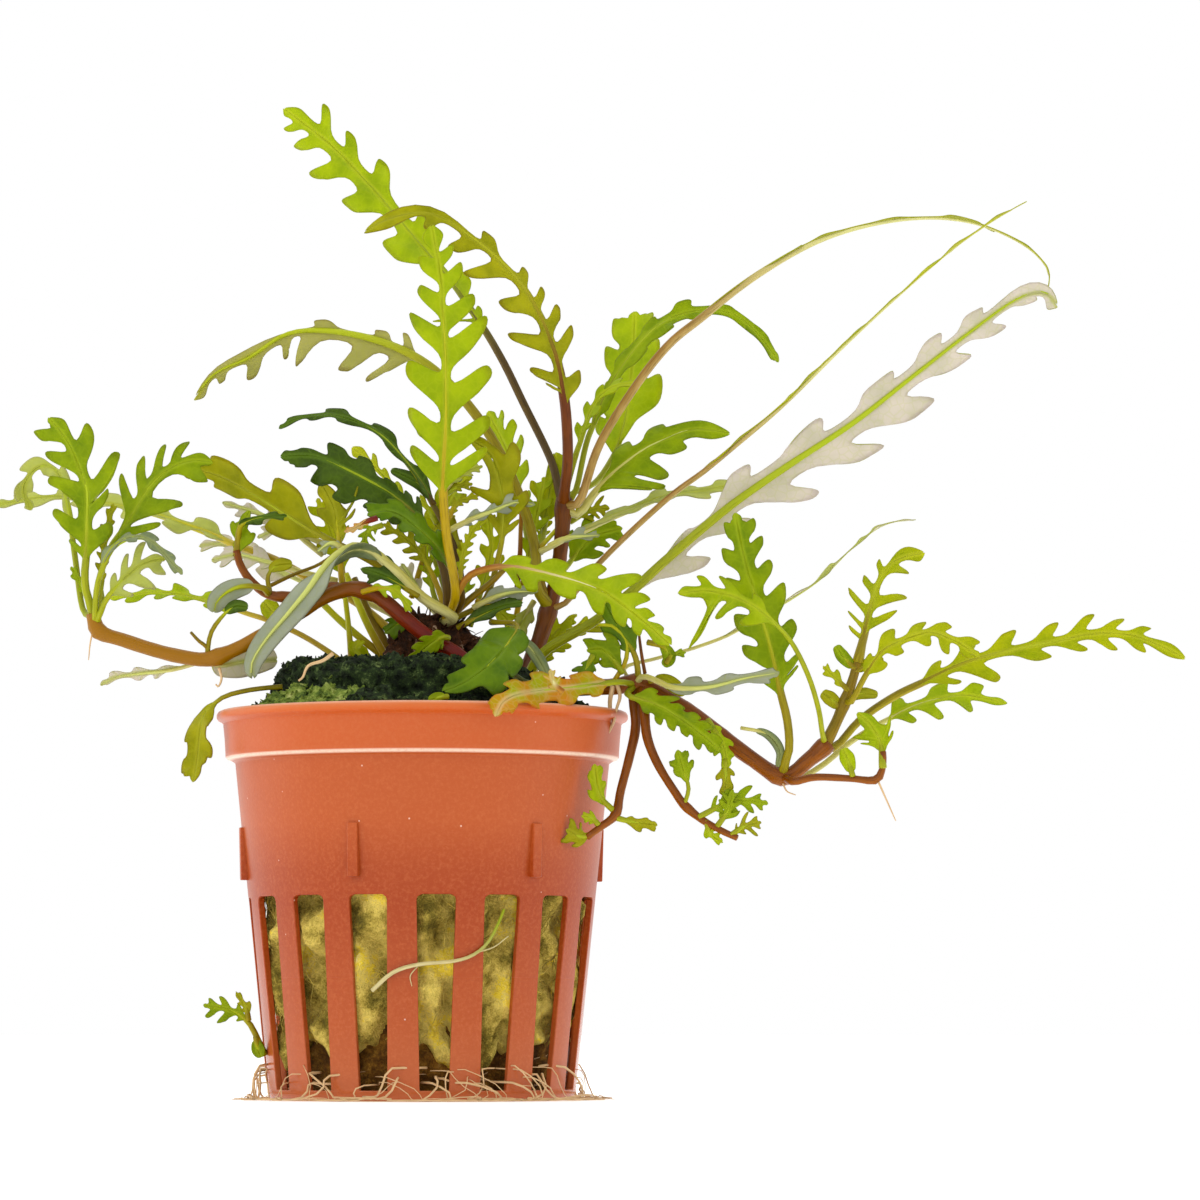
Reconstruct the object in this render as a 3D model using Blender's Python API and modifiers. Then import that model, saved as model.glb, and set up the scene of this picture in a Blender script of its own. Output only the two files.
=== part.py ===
"""A potted water plant with cut, lobed leaves: net pot, rock wool, moss, stems, leaves and roots.

The origin is the middle of the pot's foot, +Z is up and the plant is seen from -Y.
Sizes and places below are in millimetres, and MM turns them into metres.
"""

import math
from dataclasses import dataclass

import bmesh
import bpy
from mathutils import Matrix, Vector, noise

MM = 0.001

# Driving sizes of the net pot
RIM_TOP = 54.0
RIM_RADIUS = 28.7
COLLAR_RADIUS = 27.8
COLLAR_FOOT_RADIUS = 27.45
COLLAR_FOOT = 47.4
WALL_TOP_RADIUS = 26.15
FOOT_RADIUS = 21.3
WALL_THICKNESS = 0.95
FLOOR_THICKNESS = 1.2
POT_STEPS = 40

# Slots in the wall: they narrow downwards, so that the ribs between them keep one width
SLOT_COUNT = 16
SLOT_TURN = 6.5
SLOT_TOP = 28.0
SLOT_FOOT = 1.5
SLOT_TOP_WIDTH = 5.4
SLOT_FOOT_WIDTH = 4.0
SLOT_CORNER = 0.8
SLOT_CUT_FROM = 18.6
SLOT_CUT_TO = 31.0

# Openings in the floor, around a plain disc in the middle
FLOOR_SLOT_COUNT = 8
FLOOR_SLOT_INNER = 9.0
FLOOR_SLOT_OUTER = 17.0
FLOOR_SLOT_WIDTH = 3.2

# Wedges that keep stacked pots apart
LUG_COUNT = 6
LUG_TURN = -20.0
LUG_TOP = 37.7
LUG_FOOT = 30.4
LUG_WIDTH = 1.5
LUG_DEPTH = 1.0

# Filling of the pot
GAP = 0.35
WOOL_TOP = 49.6
WOOL_FOOT = 9.6
WOOL_SAG = 2.6
MOSS_TOP = 60.2
MOSS_RADIUS = 20.3
MOSS_TIER = 53.6
MOSS_TIER_RADIUS = 25.6

# The plant's points are given as they are seen from in front, from an eye at this place:
# sideways and upwards in the plane through the pot's axis, and how far behind it the point lies.
EYE_X = 24.8
EYE_Z = 10.0
EYE_DISTANCE = 760.0

LEAF_THICKNESS = 0.42
LEAF_FOLD = 0.22
STALK_WIDTH = 1.0
TIP_SHARE = 0.18
LOBE_LEAN = 0.7
NARROW_LEAF = 3.5
NOTCH_SHARE = 0.26
LOBE_BACK_SHARE = 0.84
BRANCH_SIDES = 1

TONES = {
    "terracotta": (0.61, 0.14, 0.06, 0.45),
    "wool": (0.30, 0.30, 0.08, 0.95),
    "moss": (0.02, 0.04, 0.02, 0.95),
    "wood": (0.08, 0.03, 0.01, 0.75),
    "red_stem": (0.21, 0.05, 0.02, 0.5),
    "green_stem": (0.25, 0.18, 0.03, 0.55),
    "root": (0.75, 0.60, 0.40, 0.6),
    "bright": (0.38, 0.48, 0.01, 0.45),
    "vivid": (0.19, 0.35, 0.01, 0.45),
    "olive": (0.26, 0.31, 0.02, 0.5),
    "dark": (0.06, 0.11, 0.02, 0.5),
    "pale": (0.60, 0.58, 0.32, 0.55),
}


@dataclass(frozen=True)
class Stem:
    """A branch: its seen points, the depth along it, and its diameters at foot and tip."""

    name: str
    tone: str
    diameters: tuple
    depths: tuple
    points: tuple
    steps: int = 14


@dataclass(frozen=True)
class Leaf:
    """A leaf along its midrib: rolls are 0 with the upper face to the eye and 90 edge-on."""

    name: str
    tone: str
    width: float
    lobes: int
    stalk: float
    rolls: tuple
    depths: tuple
    points: tuple
    per_lobe: int = 2
    joined_to: str = ""


STEMS = (
    Stem("left_runner", "red_stem", (2.3, 1.9), (-7.4, -6.6, -6.6, -7.2, -8.0, -8.8),
         ((5.2, 61.7), (2.5, 63.3), (-0.2, 65.2), (-3, 67.5), (-6, 70), (-9, 71.2), (-11, 71.1),
          (-14, 70), (-18, 67.5), (-22, 65), (-26, 62.9), (-30, 61.4), (-34, 61.8), (-38, 62.8),
          (-42, 64.1), (-45.4, 65.3), (-46.2, 67.8)), 20),
    Stem("left_branch", "green_stem", (1.4, 1.1), (-3.9, -3.4, -3.0),
         ((-12.6, 71.6), (-15, 70.7), (-18, 70.2), (-21.5, 70.4), (-24, 72.3), (-25.5, 74.5),
          (-26.1, 76.6)), 9),
    Stem("main_stem", "wood", (2.3, 1.9), (1.0, 3.0),
         ((15.3, 61.6), (16.3, 64), (17.8, 69), (18.8, 73), (19.4, 78), (19.7, 83.2)), 9),
    Stem("right_runner", "green_stem", (2.3, 2.0), (-6.2, -7.0, -8.2, -9.5),
         ((22.6, 57.4), (27, 57.6), (30, 58), (34, 56), (38, 53.5), (42, 50.5), (46, 47.5),
          (50.5, 44.9), (54, 47.3), (56.4, 49.3)), 14),
    Stem("right_runner_low", "green_stem", (1.5, 1.3), (-4.2, -5.4, -6.4),
         ((31, 55.6), (36, 53.8), (40, 51.2), (45, 47.8), (48.6, 45.6)), 8),
    Stem("trailing_stem_a", "green_stem", (1.3, 1.0), (-7.8, -11.5, -14.0, -15.2),
         ((29.5, 56.2), (29.8, 52), (29, 48), (27.7, 43), (27, 39.7), (25, 38), (23, 36.5)), 9),
    Stem("trailing_stem_b", "green_stem", (1.3, 0.9), (-10.8, -12.6, -13.6, -15.0),
         ((31.0, 54.6), (31.4, 50.5), (33, 46.5), (35.5, 42.5), (36.6, 41), (39, 39), (42, 37.3),
          (44, 36.4)), 9),
    Stem("side_stem", "green_stem", (1.0, 0.9), (-12.0, -12.6, -13.2),
         ((51.9, 44.3), (55, 44.9), (60, 44.7), (63.4, 44.5), (64.4, 46.4), (64.4, 48.5)), 8),
    Stem("shoot_stem", "wood", (1.7, 1.3), (-9.6, -8.8),
         ((57.2, 51.2), (58.5, 54), (60, 58), (61, 61.6)), 5),
)

LEAVES = (
    # The shoot at the far left
    Leaf("left_shoot_leaf_1", "vivid", 8.6, 5, 0.2, (10, 30), (-9.4, -11.0, -14.0),
         ((-46.6, 69.2), (-47.3, 72), (-47.2, 77), (-47, 82), (-47.1, 85.5), (-48.2, 88.5),
          (-50, 92.4), (-52.5, 95.3))),
    Leaf("left_shoot_leaf_2", "vivid", 6.6, 5, 0.16, (30, 20), (-7.0, -4.0, -2.0),
         ((-44.8, 68.6), (-45.2, 72.5), (-44, 77), (-41.5, 80.5), (-39.8, 83.2), (-38, 86),
          (-35.6, 88), (-32.6, 89.2), (-29.3, 89))),
    Leaf("left_shoot_leaf_3", "pale", 4.6, 3, 0.24, (20, 20), (-9.4, -13.0, -15.0),
         ((-45.6, 66.8), (-44.5, 69.5), (-43, 71.5), (-41, 73.5), (-38.5, 75.1), (-36, 75.5)),
         joined_to="left_runner"),
    Leaf("left_shoot_leaf_4", "bright", 2.8, 4, 0.2, (60, 40), (-9.4, -17.0, -21.0),
         ((-45.9, 67.0), (-45.6, 71.5), (-44, 76.6), (-41, 78.5), (-38, 78), (-35.8, 75.6),
          (-33.6, 73.3)), joined_to="left_runner"),
    Leaf("left_shoot_leaf_5", "pale", 3.0, 3, 0.3, (50, 10), (-5.6, 0.0, 5.0),
         ((-47.6, 68.4), (-48.6, 75), (-49.6, 82), (-51, 87.4), (-53.2, 88.6), (-55.2, 87),
          (-55.9, 84.8), (-54.7, 82.2))),
    # Leaves that reach left behind the shoot's runner
    Leaf("back_leaf_long", "pale", 4.2, 5, 0.3, (-50, -60), (5.0, 13.0, 24.0, 34.0),
         ((-3.6, 64.6), (-9.5, 69.5), (-15, 72.2), (-20, 75), (-26, 77.5), (-30, 79.3),
          (-38, 82), (-45, 83.4), (-52, 84.2), (-60, 83))),
    Leaf("back_leaf_low", "bright", 3.4, 4, 0.3, (-40, -50), (4.0, 15.0, 27.0),
         ((-12.4, 61.9), (-17, 64.8), (-22, 67), (-26, 68.5), (-30, 69.6), (-34, 70.5),
          (-38, 70.8), (-44, 70))),
    Leaf("node_leaf_pale", "pale", 4.6, 0, 0.1, (150, 150), (-6.4, -4.4, -3.6),
         ((-30.3, 61.0), (-28.2, 60.6), (-24.5, 61.2), (-21.2, 61.1)), joined_to="left_runner"),
    Leaf("node_leaf_thin", "pale", 2.0, 0, 0.2, (-50, -50), (-7.2, -4.0, -3.0),
         ((-30.3, 61.2), (-35, 60), (-40, 59.4), (-43, 58.9), (-45.2, 57.8)),
         joined_to="left_runner"),
    Leaf("node_leaf_curl", "dark", 1.6, 0, 0.6, (0, 0), (-7.4, -7.8),
         ((-30.2, 61.6), (-29.7, 65), (-28, 67.5), (-26.3, 68.8), (-24.8, 68.5)),
         joined_to="left_runner"),
    Leaf("branch_leaf_curl", "pale", 3.2, 0, 0.12, (150, 190), (-5.4, -5.6),
         ((-22.4, 72.4), (-24.8, 72.0), (-27, 71), (-28.8, 69.5), (-29.3, 68.0))),
    Leaf("branch_leaf_top", "olive", 3.4, 2, 0.1, (10, 10), (-3.0, -3.2),
         ((-26.1, 75.6), (-25.9, 78), (-25.2, 80.2), (-24.2, 82)), joined_to="left_branch"),
    Leaf("branch_leaf_side", "dark", 1.8, 0, 0.2, (-30, -40), (-2.9, -5.4, -6.4),
         ((-25.9, 75.1), (-26.9, 78.4), (-23.5, 80.8), (-19, 81.4)), joined_to="left_branch"),
    Leaf("strap_leaf", "pale", 3.4, 0, 0.22, (-40, -20, 150, 165), (-4.9, -8.0, -10.6, -9.6),
         ((4.2, 67.4), (0, 70), (-4, 74), (-7, 76.3), (-9.8, 76.8), (-13, 74.6), (-16, 71),
          (-19, 67.5), (-22, 64), (-24, 60.6), (-23.6, 58.2))),
    Leaf("lobed_leaf_left", "olive", 9.6, 3, 0.34, (20, 30), (2.0, 0.0, 1.0, 4.0),
         ((0.5, 69.9), (-4, 73), (-8, 75.6), (-14, 78.5), (-19, 81.5), (-24, 84.6), (-29, 87.2),
          (-34.4, 88.4)), 3),
    Leaf("back_leaf_pale", "pale", 4.0, 3, 0.5, (150, 160), (8.6, 18.0, 26.0),
         ((-3.0, 66.6), (-9, 69.8), (-15, 71.5), (-20, 73.6), (-24, 76), (-28, 77.5),
          (-31.3, 77.2))),
    Leaf("node_leaf_upright", "olive", 6.4, 2, 0.3, (10, 10), (-5.6, -4.6, -6.0),
         ((-11.4, 72.9), (-11.6, 76.5), (-12, 80), (-12.6, 83), (-14.4, 86.2)), 3),
    # Leaves from the crown
    Leaf("crown_leaf_dark", "dark", 6.4, 5, 0.3, (-40, -30), (-2.6, -2.6, -6.0, -10.0),
         ((3.4, 70.6), (2.6, 75), (0, 80.4), (-4, 84.3), (-9.6, 87.5), (-15, 89.8),
          (-19.5, 89.5))),
    Leaf("crown_leaf_arch", "dark", 3.8, 4, 0.2, (-50, -40), (-4.8, -8.6, -13.0),
         ((5.6, 69.6), (4.2, 73.6), (1.6, 77.6), (-2, 80.8), (-5, 82.2), (-7.6, 81.6))),
    Leaf("crown_leaf_thin", "dark", 2.6, 3, 0.3, (-60, -50), (1.0, 4.6, 8.0),
         ((5.4, 71.2), (4.6, 76.6), (2.5, 81.2), (0, 86), (-3, 90), (-6, 93), (-10, 95),
          (-14, 95.7), (-18, 95), (-20.2, 93.6))),
    Leaf("tall_leaf", "olive", 10.4, 6, 0.26, (0, 10), (-7.4, -13.0, -22.0),
         ((4.6, 70.8), (3.4, 78), (2.8, 85), (3, 90), (3.2, 95), (3.2, 100), (3.1, 105),
          (2.8, 110), (2.5, 115), (1.8, 119), (1.2, 122.3)), 3),
    Leaf("crown_leaf_mid", "olive", 5.6, 4, 0.36, (20, 20), (-1.4, -5.0, -8.0),
         ((8.4, 69.4), (10.4, 75), (11.2, 80), (11, 85), (9.5, 90), (6, 92.4))),
    Leaf("back_leaf_bright", "bright", 5.4, 5, 0.36, (20, 20), (5.0, 13.0, 21.0),
         ((15.4, 72.4), (14.5, 79), (13, 85), (12, 90), (9, 96.2))),
    Leaf("back_leaf_left", "bright", 5.0, 4, 0.55, (15, 15), (4.6, 12.0, 19.0),
         ((3.4, 69.9), (1, 77), (-2, 82.6), (-5.4, 87), (-10, 91.2))),
    Leaf("small_leaf_crown", "vivid", 3.4, 2, 0.2, (20, 20), (-7.2, -9.0, -9.6, -9.6),
         ((3.2, 62.9), (3.9, 64.3), (1.6, 64.3), (-1.0, 62.4)), joined_to="left_runner"),
    # The tall stem's leaves
    Leaf("top_leaf_left", "bright", 8.0, 7, 0.3, (15, 20), (5.6, 12.0, 20.0, 30.0),
         ((19.1, 84.6), (18.4, 88), (17, 91.4), (14.2, 97), (11, 103.5), (7.2, 109.5),
          (3.2, 115.2), (-2, 121.5), (-7.6, 128), (-13, 133.5), (-19.6, 138.2)), 3),
    Leaf("top_leaf_arch", "olive", 7.4, 7, 0.2, (10, -10, -30), (1.4, -5.0, -11.0, -17.0),
         ((19.8, 84.6), (20.3, 90), (19.8, 98), (18.3, 105), (15.4, 111.5), (11.8, 116.3),
          (6.6, 120.7), (1.2, 123.9), (-4.6, 123.2), (-8.4, 121))),
    Leaf("long_leaf_left", "pale", 5.6, 6, 0.2, (-120, -150, -160), (-0.4, 4.0, 9.0, 13.0),
         ((15.9, 71.6), (15.7, 77), (13.4, 84.6), (9.6, 92.4), (5, 98.6), (0, 103.2),
          (-6, 106), (-13, 107.4), (-19, 107), (-24.4, 103.6), (-29.2, 101.4), (-32.2, 98))),
    Leaf("long_leaf_right", "bright", 6.4, 7, 0.34, (75, 80, 85), (1.0, -1.0, -5.0, -11.0),
         ((21.9, 83.4), (24.6, 91.2), (29.2, 98.8), (34, 105), (40, 110.6), (47, 115.8),
          (55, 120.2), (63, 122.6), (71, 123.4), (78, 122.4), (84.4, 119.4), (87.6, 116),
          (87.5, 112.8))),
    Leaf("thin_leaf_right", "bright", 4.4, 6, 0.3, (80, 80), (0.4, -6.0, -15.0, -24.0),
         ((19.9, 69.2), (25, 75.2), (33, 82.8), (42, 90.3), (50, 97), (58, 104.7), (66, 112),
          (74, 118.8), (80, 123), (84.6, 125.6))),
    Leaf("thin_leaf_low", "pale", 3.0, 4, 0.3, (60, 60), (-3.4, 4.0, 12.0, 20.0),
         ((28.2, 60.2), (33, 61.6), (40, 63.7), (47, 67.4), (55, 72.3), (60, 77), (64.6, 80.3),
          (69, 81))),
    Leaf("broad_leaf_right", "pale", 9.4, 7, 0.22, (140, 145, 150), (-2.4, -8.0, -14.0, -21.0),
         ((16.9, 62.4), (25, 67.4), (34, 75.5), (43, 83), (52, 89.2), (60, 94.4), (68, 100.6),
          (76, 106.8), (83, 111.8), (87, 112.9), (88.6, 111)), 3),
    Leaf("back_leaf_upright", "bright", 7.6, 5, 0.36, (10, 15), (5.6, 15.0, 25.0),
         ((20.9, 84.6), (24.4, 86.4), (27.4, 91.6), (28.8, 98), (29.4, 104), (29.7, 110.2))),
    Leaf("arch_leaf_right", "vivid", 3.2, 5, 0.2, (30, 40), (3.4, 8.6, 12.0, 14.0),
         ((21.4, 85.0), (23, 92), (25.6, 98.6), (29, 104), (33, 108.2), (38, 110.2),
          (43.4, 109.8), (47, 106.8), (49.7, 103.2))),
    Leaf("folded_leaf_right", "vivid", 3.0, 4, 0.3, (50, 60), (4.4, 3.2, 2.6),
         ((20.2, 85.6), (21.4, 90), (22.8, 94.6), (24.6, 98), (27, 99.7), (30.2, 100))),
    Leaf("wavy_leaf_right", "olive", 5.0, 4, 0.3, (30, 30), (2.4, 6.0, 10.0),
         ((21.7, 81.6), (25, 86), (30, 90.2), (34, 92.3), (38, 93.7), (41.4, 93.3))),
    Leaf("pale_leaf_right", "pale", 2.6, 4, 0.3, (70, 70), (5.0, 12.0, 19.0),
         ((19.4, 77.6), (25, 80.4), (30, 82.4), (35, 84.1), (40, 85.2), (45, 85.8),
          (51, 85))),
    Leaf("front_leaf_droop", "bright", 6.6, 6, 0.14, (0, 0), (-6.2, -13.0, -17.0, -21.0),
         ((6.6, 68.0), (7.4, 72), (9.6, 74), (13, 74.4), (17, 73.6), (21, 72.5), (25, 71),
          (28, 69), (31.2, 66.5), (34.5, 63.7))),
    Leaf("runner_leaf_dark", "dark", 4.4, 2, 0.2, (10, 10), (-7.2, -9.0, -8.8),
         ((30.2, 58.4), (29.6, 62.2), (27.2, 66), (25.2, 70)), joined_to="right_runner"),
    # Leaves over the moss and the rim
    Leaf("spoon_leaf", "dark", 7.0, 0, 0.12, (-20, -10), (-13.0, -21.5, -24.0, -24.6),
         ((13.2, 66.2), (11.8, 63.6), (9.8, 61.2), (7.2, 59), (4.8, 57.6), (2.6, 56.9))),
    Leaf("rim_leaf_right", "olive", 4.2, 2, 0.1, (-60, -40), (-11.0, -19.0, -26.0, -30.5),
         ((27.6, 58.2), (24, 57.9), (20, 57.8), (16, 58.0), (13, 57.2), (11.4, 55.6),
          (10.4, 53.6))),
    Leaf("rim_leaf_left", "olive", 4.0, 2, 0.3, (-70, -50), (-6.4, -6.0),
         ((-21.9, 57.4), (-25.3, 56.9), (-28.4, 55.9), (-30.6, 53.8), (-31.4, 50.3),
          (-31.6, 47.3), (-32.2, 44.1))),
    # The shoots at the right
    Leaf("right_leaf_upright", "vivid", 7.6, 6, 0.14, (5, 10), (-9.8, -12.0, -17.0),
         ((50.6, 46.6), (51.3, 49), (51, 53), (50, 57), (49.2, 61), (48, 65.5), (46.4, 70.6),
          (44.9, 76), (43.9, 81.4))),
    Leaf("right_leaf_droop", "vivid", 5.0, 4, 0.3, (-30, -20), (-12.0, -19.0, -25.0),
         ((55.9, 51.2), (55.4, 54.4), (54, 59), (51.6, 63.8), (48.6, 67.2), (44.6, 69.8),
          (40, 71), (36, 70.4))),
    Leaf("shoot_leaf_upright", "olive", 7.4, 5, 0.08, (10, 10), (-8.8, -3.0),
         ((61.3, 62.8), (62, 66), (63, 70), (64.2, 73.2), (66.4, 75.4), (69.8, 76.2))),
    Leaf("shoot_leaf_side", "olive", 4.0, 4, 0.14, (60, 60), (-10.8, -19.0),
         ((60.2, 55.8), (62.4, 60), (64.6, 62.8), (67.6, 64.2), (71, 65.2), (73.6, 64),
          (75.6, 61.8))),
    Leaf("far_leaf_bright", "bright", 5.2, 7, 0.2, (20, 20), (-8.6, -6.0, -2.0),
         ((57.9, 49.2), (61, 52.7), (65, 55.6), (70, 58.3), (76, 61), (82, 62.6), (88, 63.8),
          (94, 65), (99, 64.8), (103, 63.4), (107, 61.4))),
    Leaf("far_leaf_low", "vivid", 3.6, 4, 0.45, (20, 30), (-7.0, 0.0, 8.0),
         ((52.4, 44.6), (56, 46.6), (60, 49.9), (65, 53), (69, 55), (72.6, 56), (76, 56.4),
          (82, 55.2))),
    Leaf("side_stem_leaf", "bright", 5.0, 2, 0.1, (14, 10), (-13.1, -13.2),
         ((64.3, 47.5), (64.0, 50), (62.8, 52), (61, 53.4)), joined_to="side_stem"),
    Leaf("grey_leaf_right", "pale", 2.6, 3, 0.15, (70, 60), (-9.6, -16.0, -22.0),
         ((31, 59.0), (35, 58.6), (40, 58.4), (45, 58.8), (49, 59))),
    Leaf("serrated_leaf", "dark", 3.6, 0, 0.14, (30, 30), (-10.6, -16.0),
         ((33.4, 54.6), (36, 52.6), (39, 50.8), (41.4, 48.6))),
    Leaf("trailing_leaf_a1", "olive", 2.6, 0, 0.2, (0, 0), (-14.0, -14.0),
         ((27, 39.9), (24.8, 42.4), (24, 46.6)), joined_to="trailing_stem_a"),
    Leaf("trailing_leaf_a2", "olive", 2.2, 0, 0.2, (0, 0), (-14.2, -13.4),
         ((26.6, 39.3), (29.6, 38.6), (32.7, 38.2)), joined_to="trailing_stem_a"),
    Leaf("trailing_leaf_a3", "olive", 3.4, 2, 0.1, (0, 0), (-15.0, -15.6),
         ((23.6, 36.9), (22, 36.2), (20.2, 35.6)), joined_to="trailing_stem_a"),
    Leaf("trailing_leaf_b1", "vivid", 3.2, 0, 0.4, (0, 0), (-13.6, -13.6),
         ((36.6, 41.0), (37.2, 43.4), (36.4, 46), (35.6, 48.6)), joined_to="trailing_stem_b"),
    Leaf("trailing_leaf_b2", "olive", 3.4, 3, 0.2, (0, 0), (-14.0, -14.4),
         ((38.6, 39.3), (42, 41), (45, 41.6), (48, 41.4)), joined_to="trailing_stem_b"),
    Leaf("trailing_leaf_b3", "olive", 2.8, 3, 0.1, (0, 0), (-14.8, -15.4),
         ((43.2, 36.8), (45, 37.4), (47.6, 37.0)), joined_to="trailing_stem_b"),
    Leaf("slot_plantlet", "vivid", 3.4, 3, 0.3, (0, 0), (-6.4, -7.4),
         ((-23.2, 8.4), (-24.6, 10.8), (-27.2, 12.4), (-30.8, 13.0))),
)

# Roots: diameters and world points, most of them lying on the surface round the foot
FRONT_ROOT_DIAMETER = 0.9
FRONT_ROOT = ((-6.2, 14.6), (-3.2, 16.6), (0.6, 17.5), (5.0, 18.2), (7.6, 18.8), (9.4, 20.4),
              (10.9, 24.0))
FLOOR_ROOT_DIAMETER = 1.1
FLOOR_ROOTS = {
    "floor_root_front": ((-9, -21.4), (-6, -23.6), (0, -24.8), (7, -24.2), (13, -22.0)),
    "floor_root_left": ((-20.6, -9), (-23.4, -7), (-25.0, -2), (-24.6, 4), (-22.6, 9)),
    "floor_root_right": ((16.4, -16.6), (20.4, -16.0), (23.8, -12.2), (25.2, -6), (24.6, 1)),
}
ROOT_MASS_RADIUS = 17.8
ROOT_MASS_TOP = 6.2

CROWN_CENTRE = (2.6, 0.4, 65.4)
CROWN_SIZE = (9.6, 7.4, 6.6)


def seen(x, z, depth):
    """World point that is seen at (x, z) in the plane through the axis and lies depth behind it."""
    spread = 1 + depth / EYE_DISTANCE
    return Vector((EYE_X + (x - EYE_X) * spread, depth, EYE_Z + (z - EYE_Z) * spread))


def blend(values, share):
    """Value at a share of the way along a row of values."""
    place = min(max(share, 0.0), 1.0) * (len(values) - 1)
    index = min(int(place), len(values) - 2)
    return values[index] + (values[index + 1] - values[index]) * (place - index)


def curve_through(points, steps):
    """Evenly spaced points on a smooth curve through the given ones."""
    ends = [points[0] * 2 - points[1], *points, points[-1] * 2 - points[-2]]
    dense = []
    for a, b, c, d in zip(ends, ends[1:], ends[2:], ends[3:]):
        for step in range(12):
            t = step / 12
            dense.append(0.5 * (2 * b + (c - a) * t + (2 * a - 5 * b + 4 * c - d) * t * t
                                + (3 * b - a - 3 * c + d) * t ** 3))
    dense.append(points[-1].copy())
    lengths = [0.0]
    for a, b in zip(dense, dense[1:]):
        lengths.append(lengths[-1] + (b - a).length)
    even = []
    index = 0
    for step in range(steps + 1):
        wanted = lengths[-1] * step / steps
        while index < len(dense) - 2 and lengths[index + 1] < wanted:
            index += 1
        part = (wanted - lengths[index]) / max(lengths[index + 1] - lengths[index], 1e-9)
        even.append(dense[index].lerp(dense[index + 1], part))
    return even


def seen_path(points, depths, steps):
    """Even points in space along seen points whose depth changes along the way."""
    last = len(points) - 1
    row = [seen(x, z, blend(depths, i / last)) for i, (x, z) in enumerate(points)]
    return curve_through(row, steps)


def material(tone):
    """Plain material for a tone: linear colour and roughness."""
    found = bpy.data.materials.get(tone)
    if found:
        return found
    made = bpy.data.materials.new(tone)
    made.use_nodes = True
    shader = made.node_tree.nodes["Principled BSDF"]
    red, green, blue, rough = TONES[tone]
    shader.inputs["Base Color"].default_value = (red, green, blue, 1)
    shader.inputs["Roughness"].default_value = rough
    return made


def new_object(name, mesh, tone, collection):
    """Object of a mesh in a collection, with its tone's material."""
    piece = bpy.data.objects.new(name, mesh)
    collection.objects.link(piece)
    if tone:
        mesh.materials.append(material(tone))
    return piece


def mesh_from(shape, name):
    """Mesh datablock of a bmesh, which is freed."""
    mesh = bpy.data.meshes.new(name)
    shape.to_mesh(mesh)
    shape.free()
    return mesh


def turned(name, profile, steps, tone, collection):
    """Solid turned about Z from (radius, height) points that run down its outer side."""
    mesh = bpy.data.meshes.new(name)
    points = [(radius * MM, 0, height * MM) for radius, height in profile]
    mesh.from_pydata(points, [(i, i + 1) for i in range(len(points) - 1)], [])
    piece = new_object(name, mesh, tone, collection)
    screw = piece.modifiers.new("turn", "SCREW")
    screw.steps = steps
    screw.render_steps = steps
    screw.use_merge_vertices = True
    screw.merge_threshold = 0.0001
    return piece


def baked(piece):
    """Mesh of an object with its modifiers applied and its loose seams welded."""
    graph = bpy.context.evaluated_depsgraph_get()
    graph.update()
    mesh = bpy.data.meshes.new_from_object(piece.evaluated_get(graph))
    shape = bmesh.new()
    shape.from_mesh(mesh)
    bmesh.ops.remove_doubles(shape, verts=shape.verts, dist=0.00002)
    shape.to_mesh(mesh)
    shape.free()
    return mesh


def replace_mesh(piece, mesh):
    """Gives an object a finished mesh and takes its modifiers off."""
    piece.modifiers.clear()
    piece.data = mesh


def tube(name, path, diameters, tone, collection):
    """Mesh tube along millimetre points, tapering between its end diameters, with closed ends."""
    data = bpy.data.curves.new(name, "CURVE")
    data.dimensions = "3D"
    data.bevel_depth = 0.5 * MM
    data.bevel_resolution = BRANCH_SIDES
    data.use_fill_caps = True
    spline = data.splines.new("POLY")
    spline.points.add(len(path) - 1)
    for index, point in enumerate(path):
        spline.points[index].co = (*(point * MM), 1)
        spline.points[index].radius = blend(diameters, index / (len(path) - 1))
    guide = bpy.data.objects.new(name + "_route", data)
    collection.objects.link(guide)
    mesh = baked(guide)
    bpy.data.objects.remove(guide)
    mesh.name = name
    return new_object(name, mesh, tone, collection)


def wall_radius(height):
    """Outer radius of the pot's wall below the collar."""
    share = height / COLLAR_FOOT
    return FOOT_RADIUS + (WALL_TOP_RADIUS - FOOT_RADIUS) * share


def tapered_block(shape, inner, outer, heights, widths, degrees, corner=0.0):
    """Adds a block that stands at an angle from the front, with its own width at foot and top.

    inner and outer are (foot, top) radii. corner rounds the two upper edges.
    """
    before = set(shape.verts)
    made = bmesh.ops.create_cube(shape, size=2.0)["verts"]
    for vertex in made:
        side = int(vertex.co.x > 0) * 2 - 1
        level = int(vertex.co.z > 0)
        radius = outer[level] if vertex.co.y < 0 else inner[level]
        vertex.co = Vector((side * widths[level] / 2, -radius, heights[level]))
    if corner:
        top = [e for e in shape.edges if not before & set(e.verts)
               and abs(e.verts[0].co.x - e.verts[1].co.x) < 0.01
               and min(v.co.z for v in e.verts) > heights[1] - 0.01]
        bmesh.ops.bevel(shape, geom=top, offset=corner, segments=2, profile=0.5,
                        affect="EDGES")
    placed = Matrix.Scale(MM, 4) @ Matrix.Rotation(math.radians(degrees), 4, "Z")
    fresh = [v for v in shape.verts if v not in before]
    bmesh.ops.transform(shape, matrix=placed, verts=fresh)


def add_boolean(piece, other, operation):
    """Boolean with the exact solver, and the other object kept out of sight."""
    cut = piece.modifiers.new(other.name, "BOOLEAN")
    cut.operation = operation
    cut.solver = "EXACT"
    cut.object = other
    other.hide_render = True
    other.display_type = "WIRE"


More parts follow.
